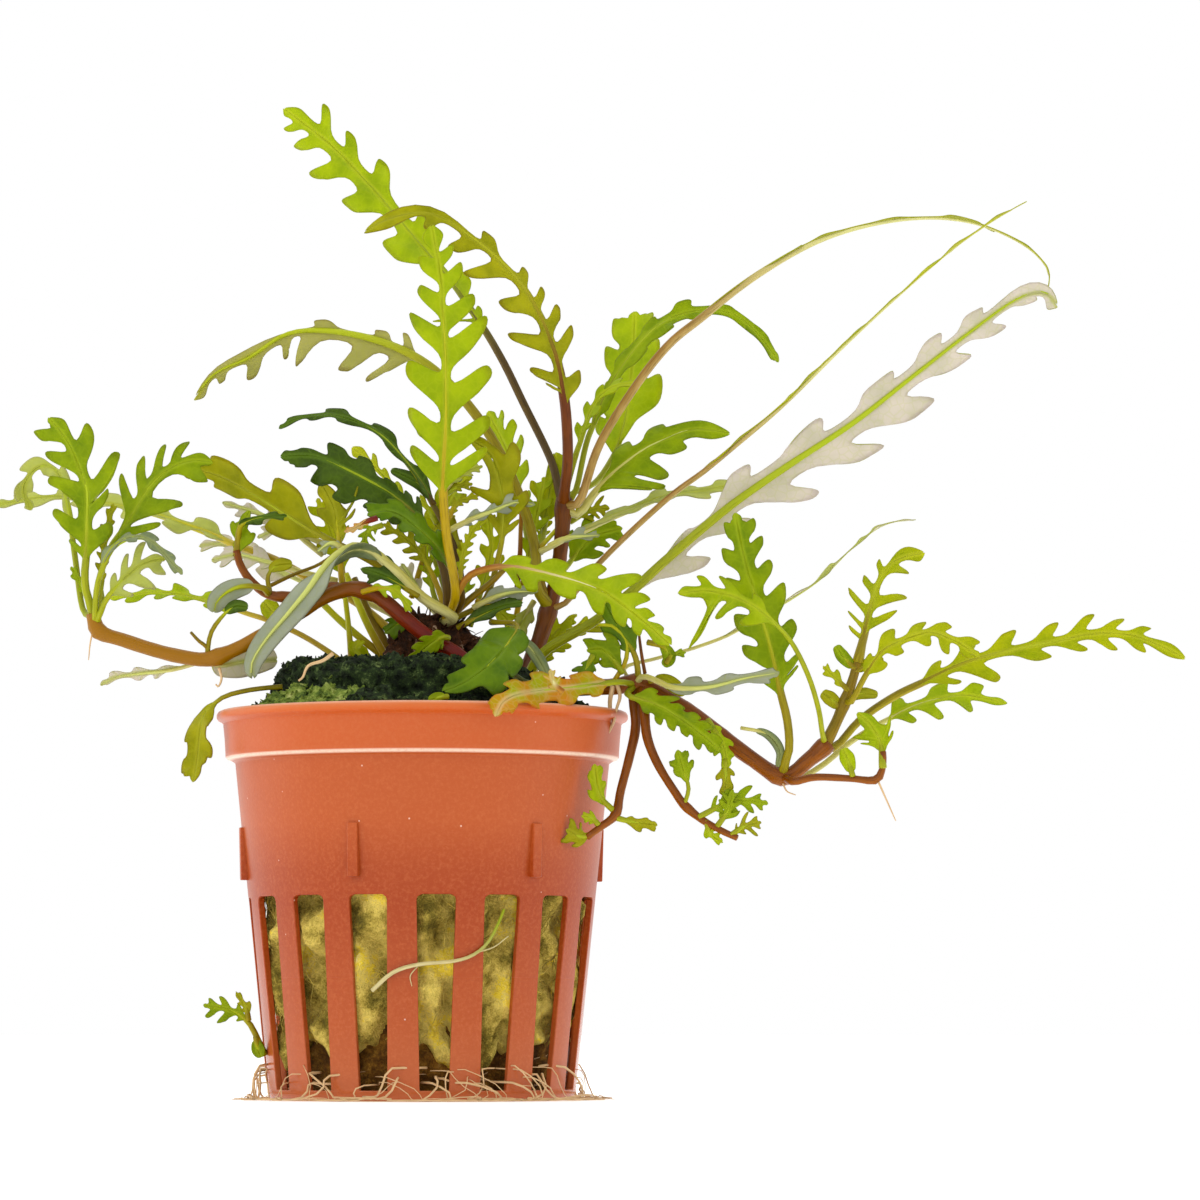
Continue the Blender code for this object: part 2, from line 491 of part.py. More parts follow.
def build_pot(parts, cutters):
    """Turned net pot with its bead, collar, stacking wedges, wall slots and floor openings."""
    inner_foot = FOOT_RADIUS - WALL_THICKNESS
    profile = (
        (0.0, FLOOR_THICKNESS), (inner_foot - 0.4, FLOOR_THICKNESS),
        (inner_foot + 0.1, FLOOR_THICKNESS + 0.5),
        (WALL_TOP_RADIUS - WALL_THICKNESS - 0.05, COLLAR_FOOT - 0.6),
        (COLLAR_FOOT_RADIUS - WALL_THICKNESS, COLLAR_FOOT + 0.9),
        (COLLAR_RADIUS - WALL_THICKNESS, RIM_TOP - 0.6), (RIM_RADIUS - 1.3, RIM_TOP),
        (RIM_RADIUS - 0.4, RIM_TOP - 0.1), (RIM_RADIUS, RIM_TOP - 0.7),
        (RIM_RADIUS - 0.2, RIM_TOP - 1.3), (COLLAR_RADIUS, RIM_TOP - 1.7),
        (COLLAR_FOOT_RADIUS, COLLAR_FOOT + 0.6), (COLLAR_FOOT_RADIUS - 0.4, COLLAR_FOOT),
        (wall_radius(COLLAR_FOOT - 0.5), COLLAR_FOOT - 0.5), (wall_radius(1.4), 1.4),
        (FOOT_RADIUS - 0.3, 0.4), (FOOT_RADIUS - 1.0, 0.0), (0.0, 0.0),
    )
    pot = turned("pot", profile, POT_STEPS, "terracotta", parts)
    lugs = bmesh.new()
    for index in range(LUG_COUNT):
        foot, top = wall_radius(LUG_FOOT), wall_radius(LUG_TOP)
        tapered_block(lugs, (foot - 0.5, top - 0.5), (foot + LUG_DEPTH, top + 0.05),
                      (LUG_FOOT, LUG_TOP), (LUG_WIDTH, LUG_WIDTH),
                      LUG_TURN + index * 360 / LUG_COUNT)
    lug_piece = new_object("stacking_wedges", mesh_from(lugs, "stacking_wedges"), "", cutters)
    slots = bmesh.new()
    for index in range(SLOT_COUNT):
        tapered_block(slots, (SLOT_CUT_FROM,) * 2, (SLOT_CUT_TO,) * 2, (SLOT_FOOT, SLOT_TOP),
                      (SLOT_FOOT_WIDTH, SLOT_TOP_WIDTH), SLOT_TURN + index * 360 / SLOT_COUNT,
                      SLOT_CORNER)
    for index in range(FLOOR_SLOT_COUNT):
        tapered_block(slots, (FLOOR_SLOT_INNER,) * 2, (FLOOR_SLOT_OUTER,) * 2,
                      (-1.0, FLOOR_THICKNESS + 1.0), (FLOOR_SLOT_WIDTH,) * 2,
                      SLOT_TURN + index * 360 / FLOOR_SLOT_COUNT)
    slot_piece = new_object("slots", mesh_from(slots, "slots"), "", cutters)
    add_boolean(pot, lug_piece, "UNION")
    add_boolean(pot, slot_piece, "DIFFERENCE")
    mesh = baked(pot)
    replace_mesh(pot, mesh)
    mesh.shade_smooth()
    mesh.set_sharp_from_angle(angle=math.radians(35))


def roughen(mesh, size, amount, keep_out):
    """Moves each point by noise of a real size, inwards only where keep_out holds."""
    for vertex in mesh.vertices:
        place = vertex.co / (size * MM)
        push = noise.noise(place) * amount
        flat = Vector((vertex.co.x, vertex.co.y, 0))
        if keep_out(vertex.co / MM):
            push = -abs(push)
        if flat.length > 0.001:
            vertex.co += flat.normalized() * push * MM
        vertex.co.z += noise.noise(place + Vector((7.3, 1.9, 4.2))) * amount * MM


def build_filling(parts):
    """Rock wool inside the wall, moss that stands above the rim, and the woody crown on it."""
    def inner(height):
        return wall_radius(height) - WALL_THICKNESS - GAP - 0.1

    wool_profile = (
        (0.0, WOOL_TOP), (12.0, WOOL_TOP), (inner(WOOL_TOP - 4) - 0.4, WOOL_TOP),
        (inner(42), 42.0), (inner(32), 32.0), (inner(24), 24.0), (inner(18), 18.0),
        (inner(WOOL_FOOT) - 0.4, WOOL_FOOT), (12.0, WOOL_FOOT), (0.0, WOOL_FOOT),
    )
    wool = turned("rock_wool", wool_profile, 18, "wool", parts)
    mesh = baked(wool)
    roughen(mesh, 6.0, 0.9, lambda point: True)
    for vertex in mesh.vertices:
        if vertex.co.z < (WOOL_FOOT + 2) * MM:
            vertex.co.z += noise.noise(vertex.co / (9 * MM)) * WOOL_SAG * MM
    replace_mesh(wool, mesh)

    moss_profile = (
        (0.0, MOSS_TOP), (7.0, MOSS_TOP), (13.0, MOSS_TOP), (MOSS_RADIUS - 1.4, MOSS_TOP - 0.4),
        (MOSS_RADIUS, MOSS_TOP - 2.2), (MOSS_RADIUS, MOSS_TIER + 1.4),
        (MOSS_TIER_RADIUS - 2.0, MOSS_TIER + 0.4), (MOSS_TIER_RADIUS, MOSS_TIER - 1.2),
        (MOSS_TIER_RADIUS - 0.2, WOOL_TOP + 2.2), (0.0, WOOL_TOP + 2.0),
    )
    moss = turned("moss", moss_profile, 22, "moss", parts)
    mesh = baked(moss)
    for vertex in mesh.vertices:
        point = vertex.co / MM
        radius = math.hypot(point.x, point.y)
        front_left = math.degrees(math.atan2(point.x, -point.y))
        if radius > MOSS_RADIUS + 1 and point.z > MOSS_TIER - 2 and -62 < front_left < -8:
            vertex.co.z += 1.7 * MM
        if radius < MOSS_RADIUS + 0.5 and point.z > MOSS_TIER and point.x > 6:
            vertex.co.z -= min((point.x - 6) * 0.16, 1.4) * MM
    roughen(mesh, 5.0, 0.8, lambda point: math.hypot(point.x, point.y) > MOSS_RADIUS + 0.6)
    replace_mesh(moss, mesh)

    shape = bmesh.new()
    bmesh.ops.create_icosphere(shape, subdivisions=2, radius=0.5)
    for vertex in shape.verts:
        lump = 1 + 0.16 * noise.noise(vertex.co * 5)
        size = Vector(CROWN_SIZE) * lump
        vertex.co = (Vector(CROWN_CENTRE) + Vector(a * b for a, b in zip(vertex.co, size))) * MM
    new_object("crown", mesh_from(shape, "crown"), "wood", parts)


def lobe_share(phase):
    """Share of the full half-width at a phase of a lobe, which is 0 in the notch between lobes."""
    if phase < 0.05 or phase > 0.95:
        return NOTCH_SHARE
    return 1.0 if phase < 0.55 else LOBE_BACK_SHARE


def blade_stations(leaf):
    """Rows (share of the length, left half-width, right half-width, lean) from stalk to tip."""
    half_stalk = STALK_WIDTH / 2 if leaf.width > 2.2 else leaf.width * 0.22
    stations = [(0.0, half_stalk, half_stalk, 0.0)]
    if leaf.stalk > 0.25:
        stations.append((leaf.stalk * 0.5, half_stalk * 0.9, half_stalk * 0.9, 0.0))
    blade = 1 - leaf.stalk
    if leaf.lobes == 0:
        count = 4 if len(leaf.points) < 8 else 8
        for index in range(count):
            share = index / count
            half = leaf.width / 2 * math.sin(math.pi * (0.1 + 0.82 * share)) ** 0.6
            stations.append((leaf.stalk + blade * share, half, half, 0.0))
    else:
        count = leaf.lobes * leaf.per_lobe
        for index in range(count):
            share = index / count
            envelope = leaf.width / 2 * math.sin(math.pi * (0.14 + 0.76 * share)) ** 0.55
            left = lobe_share(index / leaf.per_lobe % 1)
            right = lobe_share((index + leaf.per_lobe - 2) / leaf.per_lobe % 1)
            stations.append((leaf.stalk + blade * share, envelope * left, envelope * right,
                             LOBE_LEAN))
    tip = leaf.width * TIP_SHARE / 2
    stations.append((1.0, tip, tip, 0.0))
    return stations


def leaf_mesh(leaf):
    """Open sheet of a leaf: two faces across, folded along its midrib, or one if it is narrow."""
    stations = blade_stations(leaf)
    fine = 160
    path = seen_path(leaf.points, leaf.depths, fine)
    faces_across = 1 if leaf.width < NARROW_LEAF else 2
    shape = bmesh.new()
    bmesh.ops.create_grid(shape, x_segments=faces_across, y_segments=len(stations) - 1, size=1.0)
    for vertex in shape.verts:
        side = round(vertex.co.x)
        row = round((vertex.co.y + 1) / 2 * (len(stations) - 1))
        share, left, right, lean = stations[row]
        index = min(max(round(share * fine), 1), fine - 1)
        along = (path[index + 1] - path[index - 1]).normalized()
        to_eye = Vector((0, -1, 0))
        face = (to_eye - along * to_eye.dot(along)).normalized()
        across = along.cross(face)
        roll = math.radians(blend(leaf.rolls, share))
        turned_across = across * math.cos(roll) + face * math.sin(roll)
        normal = face * math.cos(roll) - across * math.sin(roll)
        half = right if side > 0 else left
        point = path[round(share * fine)].copy()
        if side:
            point += turned_across * side * half
            point += along * half * lean + normal * half * LEAF_FOLD
        vertex.co = point * MM
    return mesh_from(shape, leaf.name)


def add_leaf(leaf, collection):
    """Leaf object whose sheet is given its thickness."""
    piece = new_object(leaf.name, leaf_mesh(leaf), leaf.tone, collection)
    solid = piece.modifiers.new("thickness", "SOLIDIFY")
    solid.thickness = LEAF_THICKNESS * MM
    solid.offset = 0
    return piece


def build_stems(parts):
    """Every branch as a tapering tube, by name."""
    made = {}
    for stem in STEMS:
        path = seen_path(stem.points, stem.depths, stem.steps)
        made[stem.name] = tube(stem.name, path, stem.diameters, stem.tone, parts)
    return made


def build_leaves(parts, cutters, carriers):
    """Each leaf as its own solid, and the small ones joined to the branch they grow from."""
    for leaf in LEAVES:
        if leaf.joined_to:
            helper = add_leaf(leaf, cutters)
            add_boolean(carriers[leaf.joined_to], helper, "UNION")
        else:
            add_leaf(leaf, parts)


def build_roots(parts):
    """The root across the front of the wall, those on the surface, and the mass inside the foot."""
    row = []
    for x, z in FRONT_ROOT:
        radius = wall_radius(z) + GAP + FRONT_ROOT_DIAMETER / 2 + 0.15
        row.append(Vector((x, -math.sqrt(radius ** 2 - x ** 2), z)))
    tube("front_root", curve_through(row, 9), (FRONT_ROOT_DIAMETER, 0.6), "root", parts)
    for name, points in FLOOR_ROOTS.items():
        height = FLOOR_ROOT_DIAMETER / 2 + 0.05
        row = [Vector((x, y, height)) for x, y in points]
        tube(name, curve_through(row, 7), (FLOOR_ROOT_DIAMETER, 0.7), "root", parts)
    foot = FLOOR_THICKNESS + GAP + 0.1
    profile = (
        (0.0, ROOT_MASS_TOP), (10.0, ROOT_MASS_TOP), (ROOT_MASS_RADIUS - 1.8, ROOT_MASS_TOP - 0.8),
        (ROOT_MASS_RADIUS, ROOT_MASS_TOP - 2.6), (ROOT_MASS_RADIUS - 0.6, foot), (0.0, foot),
    )
    mass = turned("root_mass", profile, 18, "root", parts)
    mesh = baked(mass)
    for vertex in mesh.vertices:
        if vertex.co.z > (foot + 1) * MM:
            vertex.co.z += noise.noise(vertex.co / (5 * MM)) * 1.2 * MM
    replace_mesh(mass, mesh)


def main():
    """Clears the scene and builds every piece."""
    for old in list(bpy.data.objects):
        bpy.data.objects.remove(old)
    parts = bpy.data.collections.new("potted_hygrophila")
    cutters = bpy.data.collections.new("cutters")
    cutters.hide_render = True
    for collection in (parts, cutters):
        bpy.context.scene.collection.children.link(collection)
    build_pot(parts, cutters)
    build_filling(parts)
    carriers = build_stems(parts)
    build_leaves(parts, cutters, carriers)
    build_roots(parts)


if __name__ == "__main__":
    main()
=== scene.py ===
"""Potted hygrophila in a slotted net pot with rock wool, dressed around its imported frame.

Sizes in the tables and classes are millimetres, and MM turns them into metres. The origin is the
middle of the pot's foot, +Z is up and the plant is seen from -Y.
"""

import logging
import math
from collections.abc import Callable
from dataclasses import dataclass
from enum import Enum
from functools import cache, partial
from random import Random

import bmesh
import bpy
from bmesh.types import BMesh
from bpy.types import ID, Material, Mesh, Node, NodeTree, Object
from mathutils import Matrix, Vector, noise


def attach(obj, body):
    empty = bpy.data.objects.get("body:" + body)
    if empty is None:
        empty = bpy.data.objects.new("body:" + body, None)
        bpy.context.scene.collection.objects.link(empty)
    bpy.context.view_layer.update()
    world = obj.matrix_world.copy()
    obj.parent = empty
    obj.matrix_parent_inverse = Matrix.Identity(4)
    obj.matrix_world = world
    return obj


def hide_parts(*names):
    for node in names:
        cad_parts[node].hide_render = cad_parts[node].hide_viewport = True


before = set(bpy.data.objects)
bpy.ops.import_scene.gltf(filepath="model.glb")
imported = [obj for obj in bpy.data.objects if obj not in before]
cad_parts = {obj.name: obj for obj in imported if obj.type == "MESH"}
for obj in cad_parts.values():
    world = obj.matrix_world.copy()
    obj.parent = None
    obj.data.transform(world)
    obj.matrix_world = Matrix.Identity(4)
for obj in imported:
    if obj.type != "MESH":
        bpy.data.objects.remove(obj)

MM = 0.001
LOG = logging.getLogger("potted_hygrophila")

# The eye, and the point that it looks at. Plant points are given as they are seen from here:
# sideways and upwards in a plane square to the view through the target, and a depth behind the
# pot's axis.
EYE = Vector((24.8, -760.0, 10.0))
TARGET = Vector((24.8, 0.0, 69.7))
AHEAD = TARGET - EYE
UP = Vector((1, 0, 0)).cross(AHEAD).normalized()
VIEW_ACROSS = 168.0
SENSOR = 36.0

# One unit of a piece's own map is this many millimetres
MAP_SPAN = 100.0

Seen = tuple[float, float]
Place = tuple[float, float, float]


def linear(code: str) -> tuple[float, float, float, float]:
    """Turn an sRGB hex colour into linear colour.

    Args:
        code: Six hex digits.

    Returns:
        Linear red, green, blue and full opacity.
    """
    parts = [int(code[i:i + 2], 16) / 255 for i in (0, 2, 4)]
    return (*(p / 12.92 if p <= 0.04045 else ((p + 0.055) / 1.055) ** 2.4 for p in parts), 1.0)


def set_node(node: Node, links: dict | None = None, stops: tuple = (),
             **settings: object) -> Node:
    """Give a node its settings and links.

    Args:
        node: Node to set.
        links: Input socket name or number to the output socket that feeds it, or to a node whose
            first output does.
        stops: Places and hex colours of a colour ramp.
        settings: Node properties, or input socket names with _ for a space, to their values.

    Returns:
        The node.
    """
    for key, value in settings.items():
        if key in node.bl_rna.properties:
            setattr(node, key, value)
        else:
            place = int(key[1:]) if key[1:].isdigit() else key.replace("_", " ")
            node.inputs[place].default_value = value
    for index, (place, code) in enumerate(stops):
        ramp = node.color_ramp.elements
        step = ramp[index] if index < 2 else ramp.new(place)
        step.position = place
        step.color = linear(code)
    for key, source in (links or {}).items():
        if isinstance(source, Node):
            source = source.outputs[0]
        node.id_data.links.new(source, node.inputs[key])
    return node


def add_node(tree: NodeTree, kind: str, *links: object,
             **settings: object) -> Node:
    """Add a node of a kind to a tree, with its settings and links as in set_node."""
    return set_node(tree.nodes.new("ShaderNode" + kind), *links, **settings)


def blend(values: tuple, share: float) -> float:
    """Read a row of values at a share of the way along it.

    Args:
        values: Numbers or vectors, evenly spaced.
        share: Place from 0 to 1.

    Returns:
        The value there.
    """
    if len(values) == 1:
        return values[0]
    place = min(max(share, 0.0), 1.0) * (len(values) - 1)
    index = min(int(place), len(values) - 2)
    return values[index] + (values[index + 1] - values[index]) * (place - index)


def smooth(low: float, high: float, value: float) -> float:
    """Ease from 0 at low to 1 at high.

    Args:
        low: Value where the step starts.
        high: Value where it ends.
        value: Value to place.

    Returns:
        A share from 0 to 1.
    """
    share = min(max((value - low) / (high - low), 0.0), 1.0)
    return share * share * (3 - 2 * share)


def seen(x: float, z: float, depth: float) -> Vector:
    """Find the point that the eye sees at a place, at a depth behind the pot's axis.

    Args:
        x: Sideways place in the plane through the target.
        z: Upward place in that plane.
        depth: How far behind the pot's axis the point lies.

    Returns:
        The point.
    """
    ray = AHEAD + Vector((x - TARGET.x, 0, 0)) + UP * (z - TARGET.z)
    return EYE + ray * ((depth - EYE.y) / ray.y)


def seen_at(point: Vector) -> Vector:
    """Find where the eye sees a point, as sideways and upward place with no depth."""
    ray = point - EYE
    ray *= AHEAD.length_squared / ray.dot(AHEAD)
    return Vector((TARGET.x + ray.x, 0, TARGET.z + (ray - AHEAD).dot(UP)))


def around(turn: float, radius: float, height: float) -> Vector:
    """Find the point at an angle round the pot's axis, from its front towards the right."""
    return Vector((radius * math.sin(turn), -radius * math.cos(turn), height))


def turn_of(point: Vector) -> float:
    """Angle of a point round the pot's axis, from its front towards the right."""
    return math.atan2(point.x, -point.y)


class Route:
    """Smooth route through points, read by millimetres along it."""

    def __init__(self, points: list[Vector], steps: int = 90) -> None:
        """Run a smooth curve through the points and measure it.

        Args:
            points: Points to pass, at least two.
            steps: Even steps to keep.
        """
        ends = [points[0] * 2 - points[1], *points, points[-1] * 2 - points[-2]]
        dense = []
        for a, b, c, d in zip(ends, ends[1:], ends[2:], ends[3:]):
            for step in range(10):
                t = step / 10
                dense.append(0.5 * (2 * b + (c - a) * t + (2 * a - 5 * b + 4 * c - d) * t * t
                                    + (3 * b - a - 3 * c + d) * t ** 3))
        dense.append(points[-1].copy())
        lengths = [0.0]
        for a, b in zip(dense, dense[1:]):
            lengths.append(lengths[-1] + (b - a).length)
        self.length = lengths[-1]
        self.steps = steps
        self.points = []
        index = 0
        for step in range(steps + 1):
            wanted = self.length * step / steps
            while index < len(dense) - 2 and lengths[index + 1] < wanted:
                index += 1
            part = (wanted - lengths[index]) / max(lengths[index + 1] - lengths[index], 1e-9)
            self.points.append(dense[index].lerp(dense[index + 1], part))

    def at(self, along: float) -> Vector:
        """Find the point at a distance along the route, past its ends in a straight line."""
        point = blend(self.points, along / self.length)
        if along > self.length:
            return point + self.heading(self.length) * (along - self.length)
        if along < 0:
            return point + self.heading(0) * along
        return point

    def heading(self, along: float) -> Vector:
        """Find the unit direction of the route at a distance along it."""
        reach = self.length / self.steps * 2
        middle = min(max(along, reach), self.length - reach)
        ahead = blend(self.points, (middle + reach) / self.length)
        return (ahead - blend(self.points, (middle - reach) / self.length)).normalized()


def pairs(row: tuple[float, ...]) -> list[Seen]:
    """Take a row of sideways and upward places two by two."""
    return list(zip(row[::2], row[1::2]))


def seen_route(points: tuple[float, ...], depths: tuple[float, ...],
               foot: Place | None = None) -> Route:
    """Run a route through seen points whose depth changes along the way.

    Args:
        points: Sideways and upward places in turn.
        depths: Depths, evenly spread over the points.
        foot: Place and depth that the route grows from, before the first point.

    Returns:
        The route.
    """
    spots = pairs(points)
    last = len(spots) - 1
    placed = [seen(x, z, blend(depths, i / last)) for i, (x, z) in enumerate(spots)]
    if foot:
        placed.insert(0, seen(*foot))
    return Route(placed)


def add_tube(shape: BMesh, points: list[Vector], radii: list[float], sides: int,
             finish: int = 0) -> None:
    """Add a closed tube along points, with rounded ends and its own map.

    Args:
        shape: Mesh that takes the tube.
        points: Centres of its rings, in millimetres.
        radii: Radius of each ring.
        sides: Faces around.
        finish: Material number of its faces.
    """
    first = (points[1] - points[0]).normalized()
    last = (points[-1] - points[-2]).normalized()
    centres = [points[0] - first * radii[0] * 0.3, *points, points[-1] + last * radii[-1] * 0.3]
    sizes = [0.0, *radii, 0.0]
    along = [0.0]
    for a, b in zip(centres, centres[1:]):
        along.append(along[-1] + (b - a).length)
    side = first.orthogonal().normalized()
    rings = []
    for index, centre in enumerate(centres):
        ahead = centres[min(index + 1, len(centres) - 1)] - centres[max(index - 1, 0)]
        ahead.normalize()
        side = (side - ahead * side.dot(ahead)).normalized()
        rings.append((centre, side.copy(), ahead.cross(side), sizes[index]))
    rows = len(rings) - 1
    made = bmesh.ops.create_grid(shape, x_segments=sides, y_segments=rows, size=1.0)["verts"]
    places = {}
    for vertex in made:
        column = round((vertex.co.x + 1) / 2 * sides)
        row = round((vertex.co.y + 1) / 2 * rows)
        places[vertex] = (column, row)
        centre, one, two, size = rings[row]
        turn = math.tau * column / sides
        vertex.co = (centre + (one * math.cos(turn) + two * math.sin(turn)) * size) * MM
    layer = shape.loops.layers.uv["blade"]
    for face in {face for vertex in made for face in vertex.link_faces}:
        face.material_index = finish
        face.smooth = True
        for loop in face.loops:
            column, row = places[loop.vert]
            across = math.tau * max(radii) * column / sides
            loop[layer].uv = (along[row] / MAP_SPAN, across / MAP_SPAN)
    bmesh.ops.remove_doubles(shape, verts=made, dist=1e-6)


def new_shape() -> BMesh:
    """Start an empty mesh that carries the two maps of every grown piece."""
    shape = bmesh.new()
    shape.loops.layers.uv.new("blade")
    shape.loops.layers.uv.new("rib")
    return shape


def pour(shape: BMesh, mesh: Mesh) -> None:
    """Add a mesh to a larger one and delete it."""
    shape.from_mesh(mesh)
    bpy.data.meshes.remove(mesh)


def add_mesh(shape: BMesh, mesh: Mesh, place: Matrix) -> None:
    """Add a placed copy of a small mesh to a larger one.

    Args:
        shape: Mesh that takes the copy.
        mesh: Mesh to copy.
        place: Where the copy goes.
    """
    copy = mesh.copy()
    copy.transform(place)
    pour(shape, copy)


def to_mesh(shape: BMesh, name: str) -> Mesh:
    """Turn a working mesh into a kept one and free it."""
    mesh = bpy.data.meshes.new(name)
    shape.to_mesh(mesh)
    shape.free()
    return mesh


def add_object(name: str, data: ID) -> Object:
    """Make an object of a mesh, lamp or camera and add it to the scene."""
    made = bpy.data.objects.new(name, data)
    bpy.context.scene.collection.objects.link(made)
    return made


def thickened(sheets: list[tuple[Mesh, float]]) -> list[Mesh]:
    """Round thin sheets and give them thickness, all in one evaluation.

    Args:
        sheets: Each sheet's mesh, with its upper and lower material, and its thickness in
            millimetres.

    Returns:
        The finished meshes in the same order.
    """
    helpers = []
    for mesh, thickness in sheets:
        helper = add_object("helper", mesh)
        rounded = helper.modifiers.new("rounded", "SUBSURF")
        rounded.levels = 1
        rounded.render_levels = 1
        thick = helper.modifiers.new("thick", "SOLIDIFY")
        thick.thickness = thickness * MM
        thick.offset = -1.0
        thick.material_offset = 1
        helpers.append(helper)
    graph = bpy.context.evaluated_depsgraph_get()
    graph.update()
    done = [bpy.data.meshes.new_from_object(helper.evaluated_get(graph)) for helper in helpers]
    for helper, (mesh, _) in zip(helpers, sheets):
        bpy.data.objects.remove(helper)
        bpy.data.meshes.remove(mesh)
    return done


def keep_piece(name: str, shape: BMesh, finishes: list[Material],
               nodes: tuple[str, ...] = ()) -> Object:
    """Make a finished piece of a working mesh and tell the frame about it.

    Args:
        name: Name of the piece.
        shape: Its mesh, in place and in metres.
        finishes: Its materials in order.
        nodes: CAD nodes that it stands for.

    Returns:
        The piece.
    """
    mesh = to_mesh(shape, name)
    for finish in finishes:
        mesh.materials.append(finish)
    piece = add_object(name, mesh)
    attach(piece, "root")
    if nodes:
        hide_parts(*nodes)
    LOG.info("%s: %d faces", name, len(mesh.polygons))
    return piece


def start_material(name: str) -> tuple[Material, Callable, Node]:
    """Start a material with nodes.

    Args:
        name: Name of the material.

    Returns:
        The material, add_node for its tree, and its main shader.
    """
    made = bpy.data.materials.new(name)
    made.use_nodes = True
    return made, partial(add_node, made.node_tree), made.node_tree.nodes["Principled BSDF"]


@dataclass(frozen=True)
class MouldedPlastic:
    """Moulded polypropylene: soft gloss, fine mottle, painted edge highlights and a glossier foot."""

    name: str = "moulded_polypropylene"
    # Colour up the pot's height. The pale bands at 0.87 (the collar's lower edge) and at the top (the rim)
    # are painted highlights.
    tones: tuple[tuple[float, str], ...] = (
        (0.0, "B05A30"), (0.2, "A64A1C"), (0.5, "97380A"), (0.58, "9C3E10"), (0.7, "AC4E1E"),
        (0.868, "AC4E1E"), (0.8705, "EED2BC"), (0.8745, "EED2BC"), (0.877, "B85422"),
        (0.955, "B85422"), (0.972, "BC4E08"), (0.988, "C4662E"), (1.0, "E0B49A"))
    pale: str = "C0693A"
    speck: str = "F2DCCB"
    height: float = 54.2
    mottle: float = 0.5
    speck_gap: float = 3.4
    grain: float = 0.3

    def material(self) -> Material:
        """Build the node material."""
        made, add, shader = start_material(self.name)
        place = add("TexCoord").outputs["Object"]
        height = add("SeparateXYZ", {"Vector": place})
        share = add("Math", {0: height.outputs["Z"]}, operation="DIVIDE", _1=self.height * MM)
        # Colour by height, with painted highlight bands on the collar's lower edge and the rim's top
        tone = add("ValToRGB", {"Fac": share}, stops=self.tones)
        spots = add("TexNoise", {"Vector": place}, Scale=1 / MM / self.mottle, Detail=5.0,
                    Roughness=0.7)
        flecks = add("MapRange", {"Value": spots}, _1=0.46, _2=0.8, _3=0.0, _4=0.5)
        mottled = add("Mix", {0: flecks, 6: tone}, data_type="RGBA", _7=linear(self.pale))
        cells = add("TexVoronoi", {"Vector": place}, Scale=1 / MM / self.speck_gap)
        specks = add("MapRange", {"Value": cells}, _1=0.02, _2=0.045, _3=0.6, _4=0.0)
        colour = add("Mix", {0: specks, 6: mottled.outputs[2]}, data_type="RGBA",
                     _7=linear(self.speck))
        grain = add("TexNoise", {"Vector": place}, Scale=1 / MM / self.grain)
        bump = add("Bump", {"Height": grain}, Strength=0.14, Distance=0.0002)
        rough = add("MapRange", {"Value": share}, _1=0.1, _2=0.5, _3=0.18, _4=0.36)
        set_node(shader, {"Base Color": colour.outputs[2], "Normal": bump, "Roughness": rough},
                 Specular_IOR_Level=0.25, Subsurface_Weight=0.05,
                 Subsurface_Radius=(0.001, 0.0004, 0.0002))
        return made


@dataclass(frozen=True)
class LeafTissue:
    """Thin living leaf: waxy above, paler below, with pale ribs, and light shines through it."""

    name: str
    upper: str
    shade: str
    lower: str
    rib: str
    margin: str
    margin_share: float = 0.3
    through: float = 0.48
    rough: float = 0.36

    @cache
    def material(self, upper: bool) -> Material:
        """Build the node material of one face of the leaf, once.

        Args:
            upper: True for the waxy upper face.

        Returns:
            The material.
        """
        made, add, shader = start_material(f"{self.name}_{'upper' if upper else 'lower'}_face")
        place = add("TexCoord").outputs["Object"]
        across = add("SeparateXYZ", {"Vector": add("UVMap", uv_map="blade")})
        lobe = add("SeparateXYZ", {"Vector": add("UVMap", uv_map="rib")})
        patches = add("TexNoise", {"Vector": place}, Scale=1 / MM / 3.5, Detail=4.0)
        mottle = add("MapRange", {"Value": patches}, _1=0.35, _2=0.7, _3=0.0,
                     _4=0.9 if upper else 0.25)
        colour = add("Mix", {0: mottle}, data_type="RGBA", _7=linear(self.shade),
                     _6=linear(self.upper if upper else self.lower))
        # Fine net of small veins, a bit more than a millimetre apart
        net = add("TexVoronoi", {"Vector": place}, Scale=1 / MM / 1.2, feature="DISTANCE_TO_EDGE")
        mesh = add("MapRange", {"Value": net}, _1=0.0, _2=0.12, _3=0.17, _4=0.0)
        offset = add("Math", {0: across.outputs["Y"]}, operation="ABSOLUTE")
        midrib = add("MapRange", {"Value": offset}, interpolation_type="SMOOTHSTEP",
                     _1=0.15 / MAP_SPAN, _2=0.6 / MAP_SPAN, _3=0.6, _4=0.0)
        side = add("MapRange", {"Value": lobe}, interpolation_type="SMOOTHSTEP",
                   _1=0.06 / MAP_SPAN, _2=0.26 / MAP_SPAN, _3=0.36, _4=0.0)
        ribs = add("Math", {0: midrib, 1: side}, operation="MAXIMUM")
        edge = add("MapRange", {"Value": lobe.outputs["Y"]}, interpolation_type="SMOOTHSTEP",
                   _1=0.8, _2=1.0, _3=0.0, _4=self.margin_share)
        for share, code in ((mesh, self.rib), (ribs, self.rib), (edge, self.margin)):
            colour = add("Mix", {0: share, 6: colour.outputs[2]}, data_type="RGBA",
                         _7=linear(code))
        relief = add("Math", {0: ribs, 1: patches}, operation="SUBTRACT" if upper else "ADD")
        bump = add("Bump", {"Height": relief}, Strength=0.35, Distance=0.0002)
        done = colour.outputs[2]
        set_node(shader, {"Base Color": done, "Normal": bump},
                 Roughness=self.rough if upper else 0.62,
                 Specular_IOR_Level=0.14 if upper else 0.08)
        glow = add("BsdfTranslucent", {"Color": done, "Normal": bump})
        both = add("MixShader", {1: shader, 2: glow}, _0=self.through)
        set_node(made.node_tree.nodes["Material Output"], {"Surface": both})
        return made


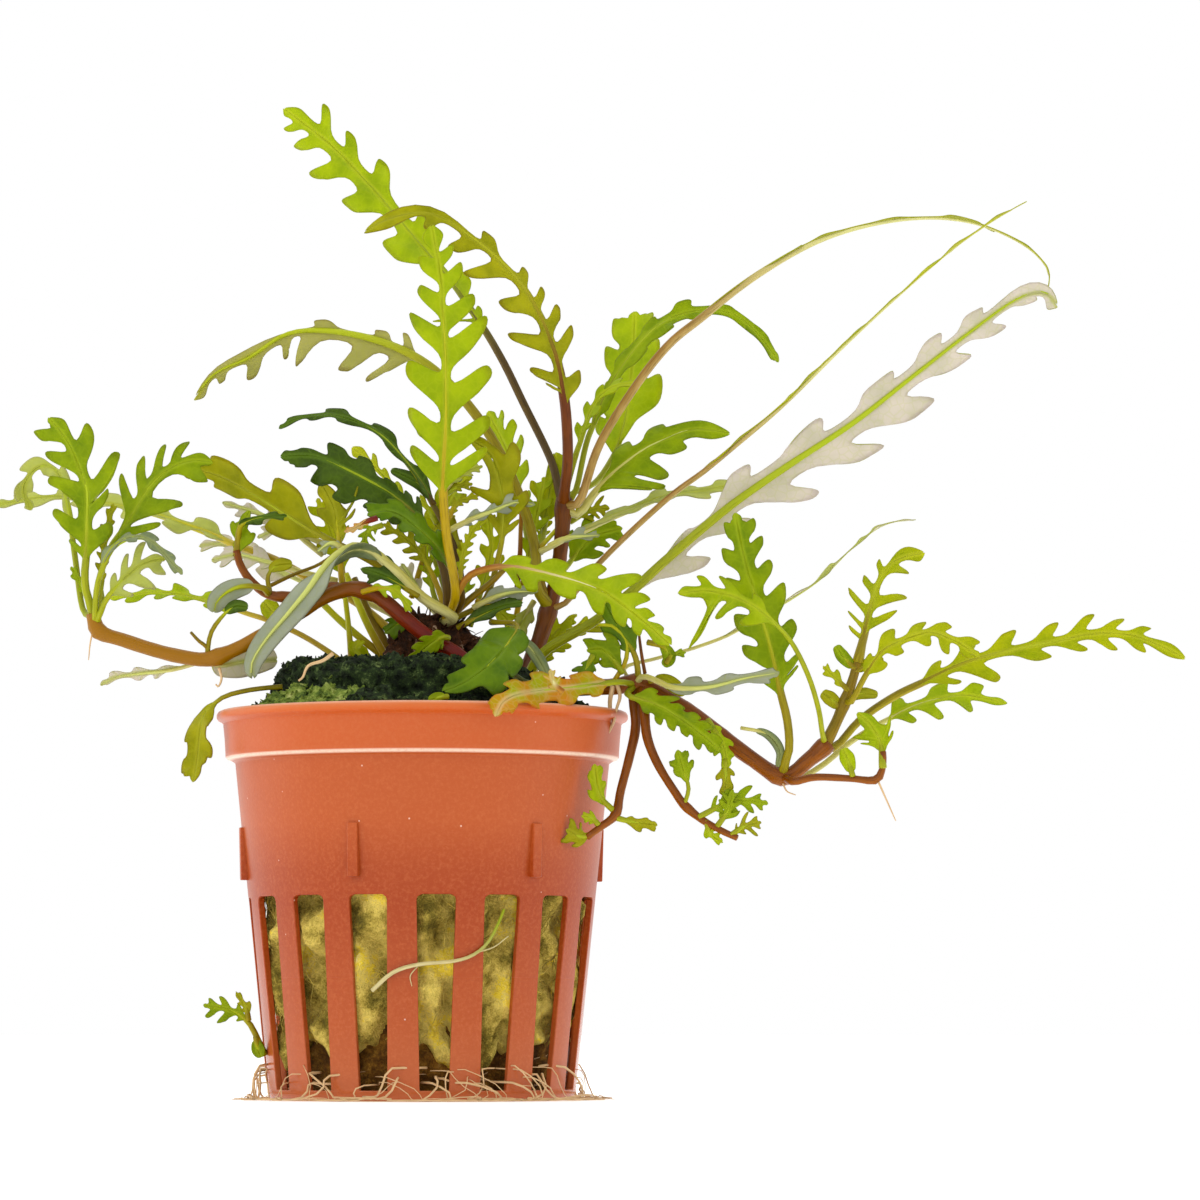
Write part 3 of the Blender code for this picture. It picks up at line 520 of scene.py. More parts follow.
@dataclass(frozen=True)
class StemSkin:
    """Stem or leaf stalk skin: lengthwise fibres, and a lighter side that turns to the ground."""

    name: str
    top: str
    under: str
    streak: str
    tip: str = ""
    rough: float = 0.45

    @cache
    def material(self) -> Material:
        """Build the node material, once."""
        made, add, shader = start_material(f"{self.name}_skin")
        drawn = add("Mapping", {"Vector": add("UVMap", uv_map="blade")}, Scale=(0.12, 1.0, 1.0))
        fibres = add("TexNoise", {"Vector": drawn}, Scale=MAP_SPAN / 0.35, Detail=3.0)
        patches = add("TexNoise", {"Vector": add("TexCoord").outputs["Object"]},
                      Scale=1 / MM / 5.0, Detail=2.0)
        turned = add("SeparateXYZ", {"Vector": add("NewGeometry").outputs["Normal"]})
        mixed = add("Math", {0: turned.outputs["Z"], 1: patches}, operation="ADD")
        side = add("MapRange", {"Value": mixed}, _1=-0.15, _2=0.8, _3=0.0, _4=1.0)
        colour = add("Mix", {0: side}, data_type="RGBA", _6=linear(self.under),
                     _7=linear(self.top))
        line = add("MapRange", {"Value": fibres}, _1=0.48, _2=0.7, _3=0.0, _4=0.6)
        layers = [(line, self.streak)]
        if self.tip:
            along = add("SeparateXYZ", {"Vector": add("UVMap", uv_map="rib")})
            fade = add("MapRange", {"Value": along}, interpolation_type="SMOOTHSTEP", _1=0.15,
                       _2=0.6, _3=0.0, _4=1.0)
            layers.append((fade, self.tip))
        for share, code in layers:
            colour = add("Mix", {0: share, 6: colour.outputs[2]}, data_type="RGBA",
                         _7=linear(code))
        bump = add("Bump", {"Height": fibres}, Strength=0.4, Distance=0.0003)
        set_node(shader, {"Base Color": colour.outputs[2], "Normal": bump}, Roughness=self.rough,
                 Specular_IOR_Level=0.2)
        return made


@dataclass(frozen=True)
class FibrousFill:
    """Spun mineral fibre, moss or dead wood: matt, mottled in patches and fibrous close to."""

    name: str
    tones: tuple[tuple[float, str], ...]
    patch: float
    fibre: float
    relief: float = 0.6
    rough: float = 0.95
    mix: float = 0.3

    def material(self) -> Material:
        """Build the node material."""
        made, add, shader = start_material(self.name)
        place = add("TexCoord").outputs["Object"]
        patches = add("TexNoise", {"Vector": place}, Scale=1 / MM / self.patch, Detail=5.0,
                      Roughness=0.62)
        fibres = add("TexNoise", {"Vector": place}, Scale=1 / MM / self.fibre, Detail=3.0,
                     Distortion=1.6)
        mixed = add("Mix", {2: patches, 3: fibres}, _0=self.mix)
        tone = add("ValToRGB", {"Fac": mixed}, stops=self.tones)
        bump = add("Bump", {"Height": fibres}, Strength=self.relief, Distance=0.0006)
        set_node(shader, {"Base Color": tone, "Normal": bump}, Roughness=self.rough,
                 Specular_IOR_Level=0.2)
        return made


class Tissue(Enum):
    """Leaf tissues of the plant."""

    YELLOW = LeafTissue("yellow_green_leaf", "C0C602", "9CAC00", "BCBC5E", "D2D432", "A08410", 0.25)
    BRIGHT = LeafTissue("bright_leaf", "B6C802", "94AC00", "BEC660", "CCD42C", "948C08")
    VIVID = LeafTissue("vivid_leaf", "A0B402", "769200", "B0BA5A", "B8C824", "78780A")
    OLIVE = LeafTissue("olive_leaf", "B8B60E", "8E9202", "C0BC72", "BEBE2A", "7A500C", 0.35)
    DEEP = LeafTissue("deep_green_leaf", "6E8C08", "466A04", "82945A", "7C9A20", "3C480A", 0.3, 0.36,
                      0.3)
    DARK = LeafTissue("dark_leaf", "4C6410", "2C4206", "869484", "62801E", "2E380E", 0.3, 0.28, 0.26)
    PALE = LeafTissue("pale_leaf", "BEC862", "A6B052", "EBDDE0", "BEC43C", "B09C90")
    GREY = LeafTissue("grey_leaf", "86926A", "647448", "AAB098", "A0A85E", "6A6248", 0.3, 0.3)
    DYING = LeafTissue("dying_leaf", "B6BA04", "E08A18", "D0AE6C", "EAD89C", "C46E1A", 0.5)


class Skin(Enum):
    """Stem and stalk skins of the plant."""

    RED = StemSkin("red_brown_stem", "641206", "7E2204", "420A02", "906000", 0.32)
    ORANGE = StemSkin("orange_brown_stem", "723A00", "925000", "4A2200", "", 0.32)
    DARK = StemSkin("dark_brown_stem", "5A2A00", "7E4600", "301600", "", 0.34)
    OLIVE = StemSkin("olive_brown_stem", "746000", "967600", "4C3800", "", 0.38)
    GOLD = StemSkin("golden_stalk", "A08600", "BA9A04", "745800", "AEAE06", 0.38)
    TAN = StemSkin("tan_stalk", "8A6420", "B89A58", "5E400E", "CFCC84", 0.38)
    RED_RIB = StemSkin("red_brown_rib", "582400", "783C00", "3A1800", "9E9E04")
    ORANGE_RIB = StemSkin("orange_rib", "8E5204", "B4802A", "6A3A02", "D0CC8C")
    PURPLE_RIB = StemSkin("purple_brown_rib", "4A3608", "6C5212", "302006", "8A9A08")
    OLIVE_RIB = StemSkin("olive_rib", "807204", "A09008", "5C4A02", "A4AE0A")
    GREEN_RIB = StemSkin("green_rib", "868C04", "A0A410", "6C6C04", "A0B010")
    CREAM_RIB = StemSkin("cream_rib", "B4AC52", "C8C27C", "90864A", "BCC266")


RIB_OF_TISSUE = {Tissue.OLIVE: Skin.OLIVE_RIB, Tissue.DEEP: Skin.OLIVE_RIB,
                 Tissue.DARK: Skin.OLIVE_RIB, Tissue.PALE: Skin.CREAM_RIB,
                 Tissue.GREY: Skin.CREAM_RIB}

ROOT_SKIN = StemSkin("water_root", "CCA878", "DABC90", "9A7040", rough=0.5)
GREEN_ROOT = StemSkin("greening_water_root", "BEB07A", "CCC08C", "8E824A", "8A9410", rough=0.5)
WOOL_FIBRE = FibrousFill(
    "basalt_rock_wool", ((0.3, "3A340E"), (0.4, "7E6E26"), (0.47, "BCA448"), (0.54, "E0C864"),
                         (0.61, "F0D22A"), (0.7, "F2E29C")), 6.0, 0.4, 0.8, mix=0.22)
MOSS_LEAF = FibrousFill(
    "cushion_moss", ((0.3, "050803"), (0.44, "10180A"), (0.56, "2A3A18"), (0.68, "708048")), 1.6, 0.35)
MOSS_LOW = FibrousFill(
    "low_moss", ((0.3, "1C2A0C"), (0.44, "4A5E1E"), (0.56, "7E8E38"), (0.7, "B4B870")), 1.6, 0.35)
CROWN_WOOD = FibrousFill(
    "woody_crown", ((0.32, "120804"), (0.46, "2E190B"), (0.6, "573015"), (0.66, "C8AC90")), 1.8, 0.3)
# Brown lumpy fill inside the pot's foot: painted shade for the shaded hollow behind the slots' feet
SHADE_FILL = FibrousFill(
    "painted_shade_fill", ((0.3, "2A1604"), (0.48, "5E3C0E"), (0.6, "8C6420"), (0.75, "C8A064")), 2.4, 0.5)

# Places that branches and leaves grow from: sideways, upwards and depth, as they are seen
CROWN = (3.2, 66.6, -0.8)
CROWN_BACK = (-1.6, 62.4, 2.4)
MOSS_LEFT = (-10.6, 60.2, 2.6)
LEFT_TIP = (-46.0, 67.2, -8.6)
LEFT_NODE = (-30.0, 61.4, -7.2)
RUNNER_NODE = (-11.0, 71.0, -6.6)
BRANCH_NODE = (-21.5, 70.5, -3.4)
BRANCH_TIP = (-26.1, 76.0, -3.0)
STEM_FOOT = (14.2, 57.6, 0.4)
STEM_NODE = (17.7, 68.8, 1.6)
SIDE_NODE = (15.7, 76.2, 1.6)
STEM_TOP = (19.7, 83.2, 3.0)
RIGHT_NODE = (29.8, 57.8, -6.6)
LOW_NODE = (50.4, 45.0, -8.6)
RIGHT_TIP = (56.3, 49.4, -9.4)
SHOOT_TIP = (60.9, 61.0, -8.9)


class Palette:
    """Materials of one piece, each of them once."""

    def __init__(self) -> None:
        """Start with no material."""
        self.finishes: list[Material] = []

    def number(self, finish: Material) -> int:
        """Find a material's number in the piece, and add it where it is new."""
        if finish not in self.finishes:
            self.finishes.append(finish)
        return self.finishes.index(finish)


@dataclass(frozen=True)
class Stem:
    """A branch: seen points, the depth along it, its diameters, and where its nodes swell."""

    name: str
    skin: Skin
    diameters: tuple[float, ...]
    depths: tuple[float, ...]
    points: tuple[float, ...]
    nodes: tuple[float, ...] = ()
    foot: Place | None = None

    def add_to(self, shape: BMesh, palette: Palette) -> None:
        """Add the branch with its swellings to a mesh."""
        route = seen_route(self.points, self.depths, self.foot)
        count = max(8, round(route.length / 0.9))
        points, radii = [], []
        for index in range(count + 1):
            share = index / count
            along = share * route.length
            radius = blend(self.diameters, share) / 2
            for node in self.nodes:
                gap = (along - node * route.length) / 1.2
                radius *= 1 + 0.28 * math.exp(-gap * gap)
            radius *= 1 + 0.07 * noise.noise(Vector((along / 1.8, len(self.name), 0.3)))
            points.append(route.at(along))
            radii.append(radius)
        sides = 14 if max(radii) > 0.6 else 8
        before = set(shape.faces)
        add_tube(shape, points, radii, sides, palette.number(self.skin.value.material()))
        mark_share(shape, set(shape.faces) - before, 0.0, route.length)

    def build(self) -> Object:
        """Build the branch as a piece of its own."""
        shape, palette = new_shape(), Palette()
        self.add_to(shape, palette)
        return keep_piece(f"{self.name}_bark", shape, palette.finishes,
                          node_of(self.name))


def node_of(name: str) -> tuple[str, ...]:
    """Name of the CAD node that a branch or leaf stands for, where the part has one."""
    return (name,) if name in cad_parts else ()


def mark_share(shape: BMesh, faces: set, start: float, end: float) -> None:
    """Write how far along a stretch each corner of a tube lies into its second map.

    Args:
        shape: Mesh that holds the tube.
        faces: Faces of the tube.
        start: Distance along the tube where the share is 0.
        end: Distance where it is 1.
    """
    along_layer = shape.loops.layers.uv["blade"]
    share_layer = shape.loops.layers.uv["rib"]
    for face in faces:
        for loop in face.loops:
            along = loop[along_layer].uv.x * MAP_SPAN
            share = (along - start) / (end - start)
            loop[share_layer].uv = (min(max(share, 0.0), 1.0), 0.0)


@dataclass(frozen=True)
class Leaf:
    """A leaf along its midrib, with lobes by the places of their tips or evenly spaced.

    Rolls are 0 with the upper face to the eye, 90 edge-on and 180 with the underside to the eye.
    Points are sideways and upward places in turn. Lobes are a number of even ones, or the places
    of their tips in turn.
    """

    name: str
    tissue: Tissue
    width: float
    stalk: float
    rolls: tuple[float, ...]
    depths: tuple[float, ...]
    points: tuple[float, ...]
    lobes: int | tuple[float, ...] = 0
    foot: Place | None = None
    rib: Skin | None = None
    cut: float = 0.78
    girth: float = 0.42
    fat: float = 0.64
    lean: float = 0.75
    fold: float = 0.14
    wave: float = 0.4
    twist: float = 0.3

    def route(self) -> Route:
        """Run the stalk and midrib."""
        return seen_route(self.points, self.depths, self.foot)

    def start(self, route: Route) -> float:
        """Distance along the midrib where the blade starts."""
        lead = 0.0
        if self.foot:
            lead = (seen(*self.foot) - seen(*self.points[:2], self.depths[0])).length
        return lead + self.stalk * (route.length - lead)

    def frame_at(self, route: Route, along: float) -> tuple[Vector, Vector, Vector]:
        """Find the blade's frame at a distance along the midrib.

        Args:
            route: Midrib.
            along: Distance from the stalk's foot.

        Returns:
            Heading, direction across the blade, and direction out of its upper face.
        """
        heading = route.heading(along)
        to_eye = Vector((0, -1, 0))
        face = (to_eye - heading * to_eye.dot(heading)).normalized()
        across = heading.cross(face)
        roll = math.radians(blend(self.rolls, along / route.length))
        turned = across * math.cos(roll) + face * math.sin(roll)
        return heading, turned, face * math.cos(roll) - across * math.sin(roll)

    def half_width(self, share: float) -> float:
        """Half the blade's width, over the lobes, at a share of the blade's length."""
        return self.width / 2 * math.sin(math.pi * (0.1 + 0.82 * min(share, 1.0))) ** 0.6

    def lobe_places(self, route: Route) -> dict[int, list[tuple[float, float]]]:
        """Find where each lobe's own rib leaves the midrib, and how far out its tip is.

        Args:
            route: Midrib.

        Returns:
            The lobes on the sides -1 and 1, in order along the midrib.
        """
        places = {-1: [], 1: []}
        start = self.start(route)
        if isinstance(self.lobes, tuple):
            span = route.length - start
            samples = [(start + k / 60 * span, seen_at(route.at(start + k / 60 * span)))
                       for k in range(61)]
            for x, z in pairs(self.lobes):
                tip = Vector((x, 0, z))
                along, near = min(samples, key=lambda item: (item[1] - tip).length)
                _, turned, _ = self.frame_at(route, along)
                ahead = seen_at(route.at(along) + turned) - near
                out = (tip - near).dot(ahead) / max(ahead.length_squared, 0.12)
                side = 1 if out > 0 else -1
                spare = (tip - near).length - abs(out) * ahead.length
                if along > route.length - 0.1:
                    along += max(spare, 0.0)
                places[side].append((along - self.lean * abs(out), abs(out)))
        elif self.lobes:
            dice = Random(self.name)
            for side in (-1, 1):
                for index in range(self.lobes):
                    share = (index + (0.9 if side > 0 else 0.55)) / (self.lobes + 0.35)
                    share += dice.uniform(-0.25, 0.25) / self.lobes
                    out = self.half_width(share) * dice.uniform(0.7, 1.2)
                    base = start + (route.length - start) * share
                    places[side].append((base - self.lean * out * 0.4, out))
        for side in places:
            places[side].sort()
        return places

    def margin(self, lobes: list[tuple[float, float]], start: float, end: float,
               dice: Random) -> list[tuple[float, ...]]:
        """Lay out the margin of one side; its columns lean alike, so they keep their order.

        Args:
            lobes: Foot of each lobe's own rib along the midrib, and distance out to its tip.
            start: Where the blade starts along the midrib.
            end: Where the midrib ends.
            dice: Seeded numbers for teeth, curl and droop.

        Returns:
            For each column its foot along the midrib, distance out to the margin, distance from
            the lobe's own rib, height of the margin above the blade, and share of the lean.
        """
        if not lobes:
            shares = [index / 18 for index in range(19)]
            return [(start + (end - start) * share,
                     0.0 if share in (0.0, 1.0) else self.half_width(share) * self.ragged(share, 0.1),
                     1.0, 0.0, 0.5 * (1 - share)) for share in shares]
        low = 1 - self.cut
        feet = []
        for foot, _ in lobes:
            foot = min(max(foot, start + 0.06 * (end - start)), end - 0.8)
            feet.append(max(foot, feet[-1] + 0.7) if feet else foot)
        spaces = [b - a for a, b in zip(feet, feet[1:])] or [self.width * 0.6]
        notches = [(max(feet[0] - spaces[0] * 0.6, start + 0.02), max(lobes[0][1] * low * 0.5, 0.2))]
        for index, space in enumerate(spaces[:len(feet) - 1]):
            depth = min(lobes[index][1], lobes[index + 1][1]) * low
            notches.append((feet[index] + space * 0.52, max(depth * dice.uniform(0.8, 1.2), 0.28)))
        notches.append((min(feet[-1] + spaces[-1] * 0.5, (feet[-1] + max(end, feet[-1] + 0.6)) / 2),
                        max(lobes[-1][1] * low, 0.25)))
        rows = [(start, 0.0, 1.0, 0.0, 1.0)]
        for foot, (_, out), before, after in zip(feet, lobes, notches, notches[1:]):
            rows.append((*before, 1.0, 0.0, 1.0))
            tooth = dice.choice((0.0, 0.12, 0.2)) if out > 1.4 else 0.0
            curl = dice.uniform(-1, 1) * self.twist
            droop = dice.uniform(-0.3, 0.14) * out * smooth(0.6, 2.6, out)
            fat = min(self.fat * dice.uniform(0.72, 0.96), 0.82)
            steps = [(-1.12 * fat, 0.05), (-fat, 0.38 + tooth), (-0.94 * fat, 0.66),
                     (-0.8 * fat, 0.9), (-0.4 * fat, 1.0), (0.34 * fat, 1.0),
                     (0.78 * fat, 0.86 + tooth * 0.2), (0.96 * fat, 0.5), (1.08 * fat, 0.05)]
            if out < 1.3:
                steps = [(-fat, 0.26), (-0.66 * fat, 0.84), (0.0, 1.0), (0.64 * fat, 0.82),
                         (1.04 * fat, 0.22)]
            for turn, rise in steps:
                reach = foot - before[0] if turn < 0 else after[0] - foot
                base = before[1] if turn < 0 else after[1]
                share = base + (max(out, base) - base) * rise * self.ragged(foot + turn, 0.14)
                rows.append((foot + turn * reach, share, abs(turn) * reach,
                             rise * (curl * turn * reach + droop * rise), 1.0))
        close, depth = notches[-1]
        end = max(end, close + 0.5)
        rows.append((close, depth, 1.0, 0.0, 1.0))
        cap = min(self.width * 0.2, (end - close) * 0.36)
        for share, size in ((0.24, 0.8), (0.46, 1.0), (0.68, 0.8), (0.86, 0.42), (1.0, 0.0)):
            out = max(cap * size, depth * (1 - share * 2.4))
            rows.append((close + (end - close) * share, out if size else 0.0, 1.0, 0.0,
                         1 - share))
        return rows

    def ragged(self, place: float, depth: float) -> float:
        """Small unevenness of the margin at a place, as a factor about 1."""
        return 1 + depth * noise.noise(Vector((place * 3.7, len(self.name) * 1.3, 4.2)))

    def place(self, route: Route, spot: tuple[float, ...], side: int) -> Vector:
        """Put a point of the flat blade into space.

        Args:
            route: Midrib.
            spot: Place along the midrib and out from it, and height above the blade.
            side: Side of the midrib, -1 or 1.

        Returns:
            The point, in millimetres.
        """
        along, out, raised = spot
        _, across, normal = self.frame_at(route, along)
        ripple = noise.noise(Vector((along / 3.6, side * out / 3.4 + 5, len(self.name) * 0.7)))
        lift = raised + out * self.fold + ripple * self.wave * min(out, 2.5)
        lift -= 0.03 * out * out / max(self.width, 1.0)
        return route.at(along) + across * side * out + normal * lift

    def sheet(self) -> tuple[Mesh, float]:
        """Make the blade as a sheet, with its thickness in millimetres."""
        route = self.route()
        places = self.lobe_places(route)
        dice = Random(self.name + " lobes")
        shape = new_shape()
        for side in (-1, 1):
            rows = self.margin(places[side], self.start(route), route.length, dice)
            self.add_side(shape, route, rows, side)
        mesh = to_mesh(shape, "sheet")
        tissue = self.tissue.value
        mesh.materials.append(tissue.material(True))
        mesh.materials.append(tissue.material(False))
        return mesh, 0.17 if self.width > 3 else 0.12

    def add_side(self, sheet: BMesh, route: Route, rows: list, side: int) -> None:
        """Add one half of the blade as a sheet.

        Args:
            sheet: Mesh that takes it.
            route: Midrib.
            rows: Columns of the margin.
            side: Side of the midrib, -1 or 1.
        """
        last = len(rows) - 1
        parts = (0.0, 0.3, 0.65, 1.0) if self.width > 3.0 else (0.0, 0.5, 1.0)
        levels = len(parts) - 1
        made = bmesh.ops.create_grid(sheet, x_segments=last, y_segments=levels, size=1.0)["verts"]
        places = {}
        for vertex in made:
            foot, reach, near, raised, lean = rows[round((vertex.co.x + 1) / 2 * last)]
            part = parts[round((vertex.co.y + 1) / 2 * levels)]
            out = reach * part
            along = foot + lean * (self.lean * out + 0.1 * out * out / self.width)
            places[vertex] = (along, out, near, part)
            vertex.co = self.place(route, (along, out, raised * part * part), side) * MM
        blade = sheet.loops.layers.uv["blade"]
        rib = sheet.loops.layers.uv["rib"]
        faces = list({face for vertex in made for face in vertex.link_faces})
        for face in faces:
            face.smooth = True
            for loop in face.loops:
                along, out, near, share = places[loop.vert]
                loop[blade].uv = (along / MAP_SPAN, out * side / MAP_SPAN)
                loop[rib].uv = (near / MAP_SPAN, share)
        if side > 0:
            bmesh.ops.reverse_faces(sheet, faces=faces)
        bmesh.ops.remove_doubles(sheet, verts=made, dist=1e-6)

    def add_to(self, shape: BMesh, palette: Palette, blade: Mesh) -> None:
        """Add the thickened blade and its rib to a mesh."""
        tissue = self.tissue.value
        numbers = [palette.number(tissue.material(True)), palette.number(tissue.material(False))]
        before = set(shape.faces)
        pour(shape, blade)
        for face in set(shape.faces) - before:
            face.material_index = numbers[min(face.material_index, 1)]
        rib = self.rib or RIB_OF_TISSUE.get(self.tissue, Skin.GREEN_RIB)
        self.add_rib(shape, palette.number(rib.value.material()))

    def add_rib(self, shape: BMesh, finish: int) -> None:
        """Add the stalk and midrib as one tapering tube under the blade."""
        route = self.route()
        start = self.start(route)
        count = max(10, round(route.length / 1.4))
        points, radii = [], []
        for index in range(count + 1):
            along = index / count * route.length * 0.97
            thin = smooth(start * 0.7, route.length, along)
            radius = self.girth * (1 - 0.82 * thin)
            if self.foot:
                radius *= 1 + 0.35 * math.exp(-(along / 1.6) ** 2)
            _, _, normal = self.frame_at(route, along)
            blade = smooth(start * 0.85, start + 2.0, along)
            points.append(route.at(along) - normal * blade * (radius * 0.72 + 0.05))
            radii.append(radius)
        before = set(shape.faces)
        add_tube(shape, points, radii, 8, finish)
        mark_share(shape, set(shape.faces) - before, start * 0.5, route.length)

    def build(self, blade: Mesh) -> Object:
        """Build the leaf as a piece of its own."""
        shape, palette = new_shape(), Palette()
        self.add_to(shape, palette, blade)
        return keep_piece(f"{self.name}_blade", shape, palette.finishes,
                          node_of(self.name))


STEMS = (
    Stem("left_runner", Skin.RED, (2.3, 2.1, 2, 1.9), (-7.4, -6.6, -6.6, -7.2, -8, -8.8), (5.2, 61.7,
         2.5, 63.3, -0.2, 65.2, -3, 67.5, -6, 70, -9, 71.2, -11, 71.1, -14, 70, -18, 67.5, -22, 65,
         -26, 62.9, -30, 61.4, -34, 61.8, -38, 62.8, -42, 64.1, -45.4, 65.3, -46.2, 67.8),
         (0.33, 0.69, 0.96), foot=(8, 58.4, -6.6)),
    Stem("left_branch", Skin.ORANGE, (1.5, 1.1), (-3.9, -3.4, -3), (-12.6, 71.6, -15, 70.7, -18, 70.2,
         -21.5, 70.4, -24, 72.3, -25.5, 74.5, -26.1, 76.6), (0.52,), foot=RUNNER_NODE),
    Stem("main_stem", Skin.DARK, (2.4, 2.3, 2.1, 2.2), (1, 3), (15.3, 61.6, 16.3, 64, 17.8, 69, 18.8, 73,
         19.4, 78, 19.8, 84), (0.42, 0.95), foot=(13.9, 56.4, 0.4)),
    Stem("right_runner", Skin.ORANGE, (2, 2.4, 2.2, 2.1), (-6.2, -7, -8.2, -9.5), (22.6, 57.4, 27, 57.6,
         30, 58, 34, 56, 38, 53.5, 42, 50.5, 46, 47.5, 50.5, 44.9, 54, 47.3, 56.8, 49.7),
         (0.32, 0.82, 0.98), foot=(15, 56.6, -5.6)),
    Stem("right_runner_low", Skin.ORANGE, (1.5, 1.3), (-4.2, -5.4, -6.4), (31, 55.6, 36, 53.8, 40, 51.2,
         45, 47.8, 48.6, 45.6), foot=RIGHT_NODE),
    Stem("trailing_stem_a", Skin.ORANGE, (1.5, 1), (-7.8, -11.5, -14, -15.2), (29.5, 56.2, 29.8, 52, 29, 48,
         27.7, 43, 27, 39.7, 25, 38, 23, 36.5), (0.78,), foot=RIGHT_NODE),
    Stem("trailing_stem_b", Skin.ORANGE, (1.5, 0.9), (-10.8, -12.6, -13.6, -15), (31, 54.6, 31.4, 50.5,
         33, 46.5, 35.5, 42.5, 36.6, 41, 39, 39, 42, 37.3, 44, 36.4), (0.7,), foot=(30.6, 57, -8)),
    Stem("side_stem", Skin.ORANGE, (1.2, 1, 0.9), (-12, -12.6, -13.2), (51.9, 44.3, 55, 44.9, 60, 44.7,
         63.4, 44.5, 64.4, 46.4, 64.4, 48.5), (0.78,), foot=LOW_NODE),
    Stem("shoot_stem", Skin.OLIVE, (1.7, 1.2), (-9.6, -8.8), (57.2, 51.2, 58.5, 54, 60, 58, 61, 61.6),
         (0.5,), foot=RIGHT_TIP),
)

